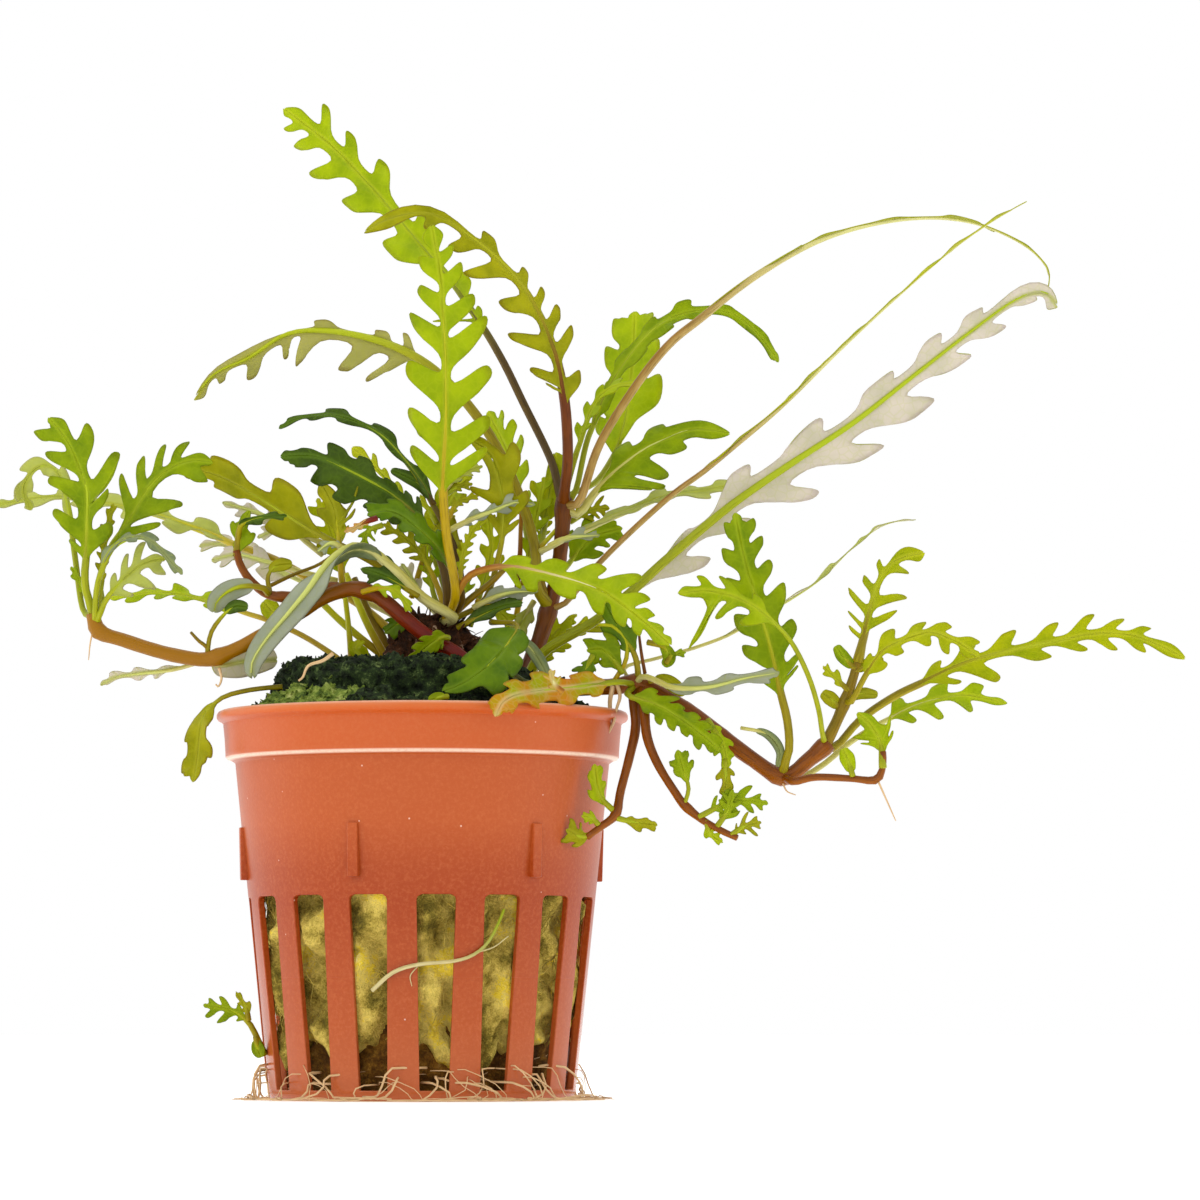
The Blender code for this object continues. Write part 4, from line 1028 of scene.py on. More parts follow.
LEAVES = (
    Leaf("left_shoot_leaf_1", Tissue.VIVID, 8.6, 0.2, (10, 30), (-9.4, -11, -14), (-46.6, 69.2, -47.3, 72,
         -47.2, 77, -47, 82, -47.1, 85.5, -48.2, 88.5, -50, 92.4, -52.5, 95.3), (-49.6, 76.4, -51.4, 81.4,
         -52.4, 85.8, -52.4, 89.8, -43.6, 79.6, -43.9, 85.5, -42.6, 89.4, -46.4, 93.6, -54, 92.6), LEFT_TIP,
         girth=0.55),
    Leaf("left_shoot_leaf_2", Tissue.VIVID, 6.6, 0.24, (30, 20), (-7, -4, -2), (-44.8, 68.6, -45.2, 72.5,
         -44, 77, -41.5, 80.5, -39.8, 83.2, -38, 86, -35.6, 88, -32.6, 89.2, -29.3, 89), (-42.4, 86.8,
         -39.4, 89.9, -37.4, 79.4, -34.2, 82, -30.8, 86, -36.5, 91.4, -33.4, 92), LEFT_TIP, fat=0.56),
    Leaf("left_shoot_leaf_3", Tissue.PALE, 4.6, 0.3, (20, 20), (-9.4, -13, -15), (-45.6, 66.8, -44.5, 69.5,
         -43, 71.5, -41, 73.5, -38.5, 75.1, -36, 75.5), (-43.7, 73.2, -42, 75.8, -39.6, 77.4, -40.3, 70.4,
         -37.6, 71.6, -35.2, 72.8), LEFT_TIP, rib=Skin.GREEN_RIB),
    Leaf("left_shoot_leaf_4", Tissue.GREY, 2.6, 0.3, (60, 30), (-9.4, -15, -19), (-45.9, 67, -45.6, 71.5,
         -44, 76.6, -41, 78.5, -38, 78, -35.8, 75.6, -33.6, 73.3), 4, LEFT_TIP, rib=Skin.GREEN_RIB),
    Leaf("left_shoot_leaf_5", Tissue.PALE, 3.6, 0.4, (50, 10), (-5.6, 0, 5), (-47.6, 68.4, -48.6, 75,
         -49.6, 82, -51, 87.4, -53.2, 88.6, -55.2, 87, -55.9, 84.8, -54.7, 82.2), 3, LEFT_TIP,
         rib=Skin.GREEN_RIB),
    Leaf("back_leaf_long", Tissue.PALE, 4.6, 0.42, (-30, -40), (5, 13, 24, 34), (-3.6, 64.6, -9.5, 69.5,
         -15, 72.2, -20, 75, -26, 77.5, -30, 79.3, -38, 82, -45, 83.4, -52, 84.2, -60, 83), 5, CROWN_BACK,
         rib=Skin.GOLD, girth=0.6),
    Leaf("back_leaf_low", Tissue.BRIGHT, 3.4, 0.36, (-40, -40), (4, 15, 27), (-12.4, 61.9, -17, 64.8,
         -22, 67, -26, 68.5, -30, 69.6, -34, 70.5, -38, 70.8, -44, 70), 5, MOSS_LEFT, rib=Skin.GOLD),
    Leaf("node_leaf_pale", Tissue.PALE, 4.6, 0.06, (150, 150), (-6.4, -4.4, -3.6), (-30.3, 61, -28.2, 60.6,
         -24.5, 61.2, -20.2, 61.4), wave=0.6, girth=0.3),
    Leaf("node_leaf_thin", Tissue.PALE, 2.2, 0.2, (-150, -160), (-7.2, -4, -3), (-30.3, 61.2, -35, 60,
         -40, 59.4, -43, 58.9, -45.2, 57.8), 3, girth=0.3),
    Leaf("node_leaf_curl", Tissue.DARK, 1.8, 0.66, (0, 0), (-7.4, -7.8), (-30.2, 61.6, -29.7, 65, -28, 67.5,
         -26.3, 68.8, -24.4, 68.7), foot=LEFT_NODE, girth=0.32),
    Leaf("branch_leaf_curl", Tissue.GREY, 3.2, 0.12, (150, 190), (-5.4, -5.6), (-22.4, 71.4, -24.8, 71.6,
         -27, 71, -28.8, 69.5, -29.3, 67.8), foot=BRANCH_NODE, rib=Skin.OLIVE_RIB),
    Leaf("branch_leaf_top", Tissue.VIVID, 4, 0.1, (10, 10), (-3, -3.2), (-26.1, 75.6, -25.9, 78,
         -25.2, 80.2, -24.2, 82.4), (-23.5, 78.4, -27, 80.4, -26.6, 77.4), BRANCH_TIP, rib=Skin.OLIVE_RIB,
         cut=0.35, fat=0.8),
    Leaf("branch_leaf_side", Tissue.DARK, 2, 0.2, (-30, -40), (-2.9, -5.4, -6.4), (-25.9, 78.1, -25.4, 80.2,
         -23, 81.2, -19, 81.5), 2, BRANCH_TIP),
    Leaf("strap_leaf", Tissue.GREY, 4, 0.3, (-60, -20, 160, 175), (-4.9, -8, -10.6, -9.6), (4.2, 67.4,
         0, 70, -4, 74, -7, 76.3, -9.8, 76.8, -13, 74.6, -16, 71, -19, 67.5, -22, 64, -24, 60.6,
         -23.6, 58.2), foot=CROWN, girth=0.75),
    Leaf("lobed_leaf_left", Tissue.OLIVE, 9.6, 0.42, (20, 30), (2, 0, 1, 4), (0.5, 69.9, -4, 73, -8, 75.6,
         -14, 78.5, -19, 81.5, -24, 84.6, -29, 87.2, -34.4, 88.4), (-27.4, 89.6, -28.6, 84.8, -18.4, 85.8,
         -20.4, 78.4), CROWN, cut=0.62, fat=0.66, girth=0.55),
    Leaf("back_leaf_pale", Tissue.PALE, 4.4, 0.5, (150, 160), (8.6, 18, 26), (-3, 66.6, -9, 69.8, -15, 71.5,
         -20, 73.6, -24, 76, -28, 77.5, -31.3, 77.2), 3, CROWN_BACK),
    Leaf("node_leaf_upright", Tissue.OLIVE, 6.4, 0.36, (10, 10), (-5.6, -4.6, -6), (-11.4, 72.9,
         -11.6, 76.5, -12, 80, -12.6, 83, -14.4, 86.4), (-14.8, 82, -9.4, 82.4, -8.8, 85, -10.2, 79.6),
         RUNNER_NODE, rib=Skin.GOLD, cut=0.6),
    Leaf("crown_leaf_dark", Tissue.DARK, 7.4, 0.3, (-35, -20, 0), (-2.6, -2.6, -6, -10), (3.4, 70.6,
         2.6, 75, 0, 80.4, -4, 84.3, -9.6, 87.5, -15, 89.8, -20, 89.8), (-17.4, 88.2, -15.4, 86,
         -11.8, 83.2, -8.2, 82.4, -4.4, 80.6, -12, 91.4, -8, 89.4, -4.4, 86.4, -1.8, 84.6, 1, 82.4,
         -16, 91), CROWN, rib=Skin.PURPLE_RIB, cut=0.34, girth=0.6, fat=0.8, wave=0.6),
    Leaf("crown_leaf_arch", Tissue.DEEP, 4.6, 0.24, (-40, -30), (-4.8, -8.6, -13), (5.6, 69.6, 4.2, 73.6,
         1.6, 77.6, -2, 80.8, -5, 82.2, -7.8, 81.6), 4, CROWN, rib=Skin.PURPLE_RIB, cut=0.4, wave=0.6),
    Leaf("crown_leaf_thin", Tissue.DARK, 3, 0.3, (-50, -30), (1, 4.6, 8), (5.4, 71.2, 4.6, 76.6, 2.5, 81.2,
         0, 86, -3, 90, -6, 93, -10, 95, -14, 95.7, -18, 95, -20.2, 93.6), 4, CROWN, rib=Skin.PURPLE_RIB),
    Leaf("tall_leaf", Tissue.BRIGHT, 10.4, 0.26, (0, 10), (-7.4, -13, -22), (4.6, 70.8, 3.4, 78, 2.8, 85,
         3, 90, 3.2, 95, 3.2, 100, 3.1, 105, 2.8, 110, 2.5, 115, 1.8, 119, 1.2, 122.3), (-1.9, 88.2,
         -2.4, 95.2, -2.2, 102.4, -1.8, 108.8, -0.8, 112.9, -0.5, 117, 8.6, 86.6, 9.4, 94, 9.6, 101.4,
         9, 108.7, 7.4, 112, 5.6, 116.6, 4.2, 119.4), CROWN, rib=Skin.GOLD, girth=0.66, cut=0.88, fat=0.7),
    Leaf("crown_leaf_mid", Tissue.OLIVE, 6.4, 0.36, (20, 20), (-1.4, -5, -8), (8.4, 69.4, 10.4, 75,
         11.2, 80, 11, 85, 9.5, 90, 6, 92.6), (7, 85.2, 8.6, 79.7, 13.2, 77.4, 15.2, 84, 13.4, 91), CROWN,
         cut=0.6),
    Leaf("back_leaf_bright", Tissue.BRIGHT, 5.4, 0.36, (20, 20), (5, 13, 21), (15.4, 72.4, 14.5, 79, 13, 85,
         12, 90, 9, 96.2), (11.7, 95.6, 13.2, 94.4, 14.6, 91.7, 15.2, 88, 15.4, 84, 8.6, 91, 9.6, 86.4),
         STEM_NODE, cut=0.6),
    Leaf("back_leaf_left", Tissue.YELLOW, 5, 0.55, (15, 15), (4.6, 12, 19), (3.4, 69.9, 1, 77, -2, 82.6,
         -5.4, 87, -10, 91.2), (-9.8, 88, -6.5, 90, -5, 88, -3, 86), CROWN),
    Leaf("small_leaf_crown", Tissue.VIVID, 4, 0.1, (20, 20), (-8.2, -9.6, -10, -10), (3.6, 64.4, 2.6, 64.4,
         0.6, 63.2, -1.4, 61.2), 4, cut=0.35, fat=0.8),
    Leaf("top_leaf_left", Tissue.BRIGHT, 8, 0.36, (15, 20), (5.6, 12, 20, 30), (19.1, 84.6, 18.4, 88,
         17, 91.4, 14.2, 97, 11, 103.5, 7.2, 109.5, 3.2, 115.2, -2, 121.5, -7.6, 128, -13, 133.5,
         -19.6, 138.6), (6.2, 101.9, -4.9, 118.8, -11.4, 125.2, -16, 129.3, -18.1, 133, -19.4, 135.6,
         14.5, 99.8, 11.4, 106, 6.2, 115, 1.2, 122.8, -5.3, 130.9, -9.8, 135, -13.2, 138.8), STEM_TOP,
         rib=Skin.PURPLE_RIB, cut=0.74, fat=0.5, girth=0.6),
    Leaf("top_leaf_arch", Tissue.OLIVE, 7.4, 0.2, (10, -10, -20), (1.4, -5, -11, -17), (19.8, 84.6,
         20.3, 90, 19.8, 98, 18.3, 105, 15.4, 111.5, 11.8, 116.3, 6.6, 120.7, 1.2, 123.9, -4.6, 123.2,
         -8.6, 121), (17.6, 96.9, 15.2, 101, 12, 106.5, 10.5, 111.2, 5.6, 115.1, 3.6, 119, 22.2, 100.8,
         21.2, 107.4, 19.4, 110.5, 16.8, 113.2, 14.4, 116, 9.5, 121, 0, 121.4), STEM_TOP, rib=Skin.RED_RIB,
         cut=0.86, fat=0.5, girth=0.75),
    Leaf("long_leaf_left", Tissue.OLIVE, 5.6, 0.5, (-150, -165, -165), (-0.4, 4, 9, 13), (15.9, 71.6,
         15.7, 77, 13.4, 84.6, 9.6, 92.4, 5, 98.6, 0, 103.2, -6, 106, -13, 107.4, -19, 107, -24.4, 103.6,
         -29.2, 101.4, -32.2, 97.6), (-28, 100.2, -24, 100.6, -19, 103.6, -17.4, 102.6, -10.8, 101.4,
         -2.6, 97.8, -14, 109, -5.5, 107.4, 2, 104.6), STEM_NODE, girth=0.75, fat=0.4),
    Leaf("long_leaf_right", Tissue.YELLOW, 2.6, 0.34, (86, 88, 90), (1, -1, -5, -11), (21.9, 83.4,
         24.6, 91.2, 29.2, 98.8, 34, 105, 40, 110.6, 47, 115.8, 55, 120.2, 63, 122.6, 71, 123.4, 78, 122.4,
         84.4, 119.4, 87.6, 116, 87.5, 112.8), 7, STEM_TOP, rib=Skin.TAN, girth=0.6, wave=0.25, twist=0.15,
         fold=0.05),
    Leaf("thin_leaf_right", Tissue.YELLOW, 2.2, 0.3, (86, 88), (0.4, -6, -15, -24), (19.9, 69.2, 25, 75.2,
         33, 82.8, 42, 90.3, 50, 97, 58, 104.7, 66, 112, 74, 118.8, 80, 123, 84.6, 125.6), 6, STEM_NODE,
         rib=Skin.TAN, wave=0.2, fold=0.05),
    Leaf("thin_leaf_low", Tissue.PALE, 2.6, 0.3, (80, 80), (-3.4, 4, 12, 20), (28.2, 60.2, 33, 61.6,
         40, 63.7, 47, 67.4, 55, 72.3, 60, 77, 64.6, 80.3, 69, 81), 5, RIGHT_NODE, girth=0.26),
    Leaf("broad_leaf_right", Tissue.PALE, 8.4, 0.16, (155, 160, 165), (-2.4, -8, -14, -21), (16.9, 62.4,
         25, 67.4, 34, 75.5, 43, 83, 52, 89.2, 60, 94.4, 68, 100.6, 76, 106.8, 83, 111.8, 87, 112.9,
         89, 110.6), (36.3, 79, 44.5, 88.4, 54.5, 94.6, 64.5, 101.2, 71.2, 106.6, 77.3, 110.2, 38, 73,
         45.5, 80.5, 54.6, 83.9, 63.4, 89.8, 70.4, 96.1, 76.2, 103.1, 80.8, 107.2, 85.4, 111.4), STEM_FOOT,
         rib=Skin.GREEN_RIB, cut=0.62, girth=0.72, fat=0.6, lean=1.35, wave=0.5),
    Leaf("back_leaf_upright", Tissue.BRIGHT, 7.6, 0.3, (10, 15), (5.6, 15, 25), (20.9, 84.6, 24.4, 86.4,
         27.4, 91.6, 28.8, 98, 29.4, 104, 29.7, 110.2), (33.6, 99, 25.4, 104.5, 25, 98.6, 26.4, 108.2,
         32.4, 108.7, 33.4, 104, 23.4, 92), STEM_TOP, cut=0.4, fat=0.85),
    Leaf("arch_leaf_right", Tissue.VIVID, 3.4, 0.2, (30, 30), (3.4, 8.6, 12, 14), (21.4, 85, 23, 92,
         25.6, 98.6, 29, 104, 33, 108.2, 38, 110.2, 43.4, 109.8, 47, 106.8, 49.9, 103), 6, STEM_TOP,
         cut=0.4),
    Leaf("folded_leaf_right", Tissue.BRIGHT, 3.6, 0.3, (30, 40), (4.4, 3.2, 2.6), (20.2, 85.6, 21.4, 90,
         22.8, 94.6, 24.6, 98, 27, 99.7, 30.2, 100), 4, STEM_TOP),
    Leaf("wavy_leaf_right", Tissue.VIVID, 8, 0.14, (20, 20), (2.4, 6, 10), (21.7, 81.6, 25, 86, 30, 90.2,
         34, 92.3, 38, 93.7, 43.4, 93), (35.8, 90.2, 33.2, 86.7, 32.2, 83.6, 28.6, 81, 28, 92, 33, 94.6),
         STEM_TOP, rib=Skin.CREAM_RIB, cut=0.5, fat=0.7, girth=0.6),
    Leaf("pale_leaf_right", Tissue.PALE, 3.4, 0.1, (50, 50, 30), (-1, 5, 12, 19), (18, 77.2, 21, 78.8,
         25, 80.8, 30, 82.8, 35, 84.6, 40, 85.3, 45, 85.7, 51, 84.8), 6, SIDE_NODE, cut=0.5),
    Leaf("front_leaf_droop", Tissue.BRIGHT, 6.6, 0.24, (0, 0), (-6.2, -13, -17, -21), (4.6, 70, 6.4, 73,
         9.6, 74.2, 13, 74.4, 17, 73.6, 21, 72.5, 25, 71, 28, 69, 31.2, 66.5, 34.8, 63.3), (13.8, 76,
         19.2, 75.4, 24.8, 74.7, 30.4, 73.2, 31.2, 70.4, 32, 68.2, 33.4, 66.2, 10.3, 71.3, 15, 70.8, 20, 70,
         24.5, 67.7, 27.5, 66.3, 30, 64.8), CROWN, rib=Skin.ORANGE_RIB, cut=0.62, fat=0.78, girth=0.5),
    Leaf("runner_leaf_dark", Tissue.DEEP, 5, 0.3, (10, 10), (-7.2, -9, -8.8), (30.2, 58.4, 29.6, 62.2,
         27.2, 66, 25, 70.4), 3, RIGHT_NODE, cut=0.3),
    Leaf("spoon_leaf", Tissue.DEEP, 7.4, 0.1, (-10, -10), (-13, -21.5, -24, -24.6), (13.2, 66.2, 11.8, 63.6,
         9.8, 61.2, 7.2, 59, 4.8, 57.6, 2.6, 56.9), (14.3, 62.4, 13, 59.2, 10.8, 56.4, 8.8, 65.4, 6, 62,
         4.6, 59.6), (9.6, 66.6, -4), cut=0.12, fat=0.9, wave=0.6, girth=0.34),
    Leaf("rim_leaf_right", Tissue.DYING, 5, 0.1, (-25, -15), (-11, -19, -26, -30.5), (27.6, 58.2, 24, 57.9,
         20, 57.4, 16, 57, 13, 56.4, 11.2, 55.4, 10.2, 53.4), 4, RIGHT_NODE, cut=0.3, wave=0.6),
    Leaf("rim_leaf_left", Tissue.OLIVE, 5, 0.36, (-50, -30), (-6.4, -6), (-21.9, 57.4, -25.3, 56.9,
         -28.4, 55.9, -30.6, 53.8, -31.4, 50.3, -31.6, 47.3, -32.2, 44.1), 2, (-18.6, 57.6, -6.4), cut=0.3,
         girth=0.34),
    Leaf("right_leaf_upright", Tissue.VIVID, 7.6, 0.26, (5, 10), (-9.8, -12, -17), (50.6, 46.6, 51.3, 49,
         51, 53, 50, 57, 49.2, 61, 48, 65.5, 46.4, 70.6, 44.9, 76, 43.7, 82), (47.3, 58.7, 44.9, 62.2,
         43.6, 66.6, 42.4, 72, 41.8, 76.2, 42.1, 79.8, 53.2, 57.4, 52.8, 61.4, 52.2, 66.4, 50.8, 71.6,
         48.8, 75.2, 47.6, 78, 46.6, 80.8), LOW_NODE, rib=Skin.OLIVE_RIB, girth=0.6, fat=0.7, cut=0.56),
    Leaf("right_leaf_droop", Tissue.BRIGHT, 5, 0.5, (-30, -20), (-12, -19, -25), (55.9, 51.2, 55.4, 54.4,
         54, 59, 51.6, 63.8, 48.6, 67.2, 44.6, 69.8, 40, 71, 35.6, 70.6), (37.3, 63, 40.8, 67.2, 44.4, 66.4,
         39, 73, 42.4, 73.2, 47, 70.4), RIGHT_TIP, girth=0.36, cut=0.7, fat=0.5),
    Leaf("shoot_leaf_upright", Tissue.YELLOW, 7.4, 0.02, (10, 10), (-8.8, -3), (61.3, 62.8, 62, 66, 63, 70,
         64.2, 73.2, 66.4, 75.4, 70.4, 76.4), (59.2, 65.2, 59.6, 68.2, 59.4, 71.4, 61.6, 73.2, 63.7, 75.2,
         66.2, 67.7, 67.6, 70.2, 67.6, 73), SHOOT_TIP, rib=Skin.OLIVE_RIB, girth=0.6, cut=0.86, fat=0.42),
    Leaf("shoot_leaf_side", Tissue.YELLOW, 4.6, 0.14, (20, 20), (-10.8, -15, -19), (60.2, 55.8, 62.4, 60,
         64.6, 62.8, 67.6, 64.2, 71, 65.2, 74.4, 64, 78, 61.8), 5, (59.2, 55.4, -9.4), rib=Skin.OLIVE_RIB),
    Leaf("far_leaf_bright", Tissue.YELLOW, 5.2, 0.26, (20, 20), (-8.6, -6, -2), (57.9, 49.2, 61, 52.7,
         65, 55.6, 70, 58.3, 76, 61, 82, 62.6, 88, 63.8, 94, 65, 99, 64.8, 103, 63.4, 107, 61.4),
         (70.2, 60.2, 76.8, 63.9, 82.4, 65.4, 89, 66.8, 93.8, 67.6, 97.8, 67.2, 101.4, 65.9, 74.3, 57.4,
         80, 58.4, 87.2, 61.3, 92.5, 62.3, 96.5, 62.6, 100.4, 62.3), RIGHT_TIP, rib=Skin.OLIVE_RIB,
         cut=0.76, fat=0.5, lean=1.1, girth=0.55),
    Leaf("far_leaf_low", Tissue.BRIGHT, 3.6, 0.45, (20, 30), (-7, 0, 8), (52.4, 44.6, 56, 46.6, 60, 49.9,
         65, 53, 69, 55, 72.6, 56, 76, 56.4, 82, 55.2), (67.2, 51.6, 71.8, 52.8, 76, 54, 73, 58.4, 78, 57.8,
         66, 56), LOW_NODE, rib=Skin.CREAM_RIB, fat=0.56),
    Leaf("side_stem_leaf", Tissue.BRIGHT, 5.6, 0.1, (14, 10), (-13.1, -13.2), (64.3, 47.5, 64, 50,
         62.6, 52.4, 60.6, 54), (65.6, 53.4, 66.2, 50.6, 60.2, 50.2, 61.6, 48.2), (64.4, 46.2, -13.2),
         cut=0.4),
    Leaf("grey_leaf_right", Tissue.GREY, 3.2, 0.15, (150, 150), (-9.6, -16, -22), (31, 59, 35, 57.6,
         40, 57.6, 45, 58.8, 50, 59.6), 3, RIGHT_NODE, cut=0.5),
    Leaf("serrated_leaf", Tissue.VIVID, 5, 0.06, (20, 20), (-10.6, -16), (28.6, 56.4, 31.4, 55.6,
         34.4, 54.2, 37, 52.4, 39.6, 50.4, 41.6, 48.6), 6, RIGHT_NODE, cut=0.35, fat=0.8),
    Leaf("trailing_leaf_a1", Tissue.BRIGHT, 2.8, 0.2, (0, 0), (-14, -14), (27, 39.9, 24.8, 42.4, 24, 46.8),
         2, cut=0.25),
    Leaf("trailing_leaf_a2", Tissue.OLIVE, 2.4, 0.2, (0, 0), (-14.2, -13.4), (26.6, 39.3, 29.6, 38.6,
         32.9, 38.2), 2, rib=Skin.GREEN_RIB, cut=0.4),
    Leaf("trailing_leaf_a3", Tissue.OLIVE, 4.2, 0.1, (0, 0), (-15, -15.6), (23.6, 36.9, 22, 36.6, 20, 37.6),
         2, rib=Skin.GREEN_RIB, cut=0.45),
    Leaf("trailing_leaf_b1", Tissue.VIVID, 3.4, 0.36, (0, 0), (-13.6, -13.6), (36.6, 41, 37.2, 43.4,
         36.4, 46, 35.6, 48.8), 2, cut=0.2, girth=0.3),
    Leaf("trailing_leaf_b2", Tissue.VIVID, 3.8, 0.1, (0, 0), (-14, -14.4), (38.6, 39.3, 42, 41, 45, 41.6,
         48.4, 41.2), 4, cut=0.75),
    Leaf("trailing_leaf_b3", Tissue.OLIVE, 3.2, 0.1, (0, 0), (-14.8, -15.4), (43.2, 36.8, 45, 38,
         47.4, 38.6), 3, rib=Skin.GREEN_RIB, cut=0.7),
    Leaf("slot_plantlet", Tissue.VIVID, 3.8, 0.3, (0, 0), (-6.4, -7.4), (-23.2, 8.4, -24.6, 10.8,
         -27.2, 12.4, -30.8, 13), 3, (-22.2, 6, -5.6), rib=Skin.OLIVE_RIB),
)

LEFT_LEAFLETS = (
    Stem("young_stalk", Skin.OLIVE, (0.7, 0.4), (-7.3, -7.8), (-30.2, 61.6, -30.2, 63, -31.4, 64,
         -32.5, 65.2), foot=LEFT_NODE),
    Leaf("young_shoot_leaf", Tissue.OLIVE, 2.4, 0.1, (20, 10), (-8.4, -7.6), (-45.4, 69.4, -44.9, 74,
         -44.5, 78, -43.4, 83.2), 6, LEFT_TIP, rib=Skin.GREEN_RIB),
    Leaf("young_shoot_leaf_low", Tissue.VIVID, 2.2, 0.1, (0, 0), (-8.4, -8.8), (-47, 70, -48.2, 72.6,
         -49.3, 74.4), 2, LEFT_TIP),
    Leaf("branch_small_leaf", Tissue.OLIVE, 1.8, 0.4, (0, 0), (-3.4, -3.4), (-21.5, 71.2, -21.7, 73,
         -20.6, 74.4, -18.2, 74.8), foot=BRANCH_NODE, girth=0.3),
)

BACK_LEAFLETS = (
    Stem("back_stalk_a", Skin.GOLD, (1.2, 0.9), (3, 4.4), (-4.8, 61, -7.4, 65.6, -9.2, 69.6, -10.8, 73.4)),
    Stem("back_stalk_b", Skin.GOLD, (1.2, 0.9), (4, 5.4), (-4.4, 61, -8.5, 64.2, -12, 67.2, -15.2, 70.4)),
    Stem("back_stalk_c", Skin.GOLD, (0.9, 0.7), (-1, 1), (-10, 60.6, -10.3, 65, -10.9, 70.4)),
    Stem("back_stalk_d", Skin.OLIVE, (1.3, 0.9), (5.6, 7), (-4.2, 61, -5.6, 64.4, -7.8, 68.4, -9.6, 72.8)),
    Stem("thin_stalk", Skin.OLIVE, (0.6, 0.4), (-0.5, 0.5), (-21.6, 71.6, -18, 73.3, -14.5, 74.7,
         -11.6, 76.8)),
    Leaf("back_small_leaf", Tissue.YELLOW, 2.6, 0.1, (0, 0), (8, 9), (-19.8, 66.4, -21, 68, -22.4, 69.6),
         rib=Skin.GOLD),
    Leaf("back_upper_leaf", Tissue.PALE, 3.4, 0.3, (160, 160), (9, 16), (-12, 72.4, -17, 73.6, -22, 75,
         -26, 76, -29.6, 75.2), 3),
    Leaf("back_droop_leaf", Tissue.BRIGHT, 2.6, 0.1, (0, 10), (-8.4, -8.8), (-8.6, 70.8, -6, 71.4,
         -3.6, 70.8, -1.6, 68), 3, rib=Skin.GOLD),
    Leaf("back_young_leaf_a", Tissue.YELLOW, 5, 0.2, (10, 20), (5, 6.4), (-10.6, 70, -11.6, 75, -13, 79.6,
         -14.8, 84), 4, rib=Skin.GOLD),
    Leaf("back_young_leaf_b", Tissue.YELLOW, 4, 0.3, (-10, 10), (6, 8), (-1.6, 70, 0.6, 77, 3.4, 83.4,
         6.6, 88), 4, rib=Skin.GOLD),
    Leaf("back_young_leaf_c", Tissue.BRIGHT, 4.4, 0.3, (20, 10), (5, 7), (13, 67, 14.4, 74, 15.6, 80,
         17, 87), 5, rib=Skin.GOLD),
    Leaf("back_young_leaf_d", Tissue.YELLOW, 3.6, 0.2, (20, 20), (3, 5), (12.4, 60, 16.6, 62.6, 20.6, 65.4,
         24.4, 67), 4),
    Leaf("back_young_leaf_e", Tissue.YELLOW, 3.4, 0.2, (-20, 0), (3.6, 6), (6.6, 66, 8.4, 71.6, 9.6, 77,
         9, 82), 4),
    Leaf("moss_leaf_curl", Tissue.YELLOW, 3.2, 0.1, (20, 20), (-3, -2), (-6.4, 60.6, -8.3, 61.6, -9.6, 62.8,
         -9, 64.2), 2, cut=0.3),
    Leaf("moss_leaf_dark", Tissue.DEEP, 2.8, 0.1, (0, 0), (-3.4, -3), (-1.2, 66.2, -3.4, 66.4, -5.4, 65), 2,
         cut=0.3),
    Leaf("pink_back_leaf", Tissue.PALE, 3, 0.3, (160, 160), (6, 9), (-13.5, 77.4, -18, 79.4, -22.5, 81.6,
         -28.2, 83.4), 2),
    Leaf("pink_back_leaf_low", Tissue.PALE, 2.8, 0.3, (150, 160), (6, 9), (-14, 76, -18, 79, -20.5, 79.4,
         -23.2, 78.4), 2),
)

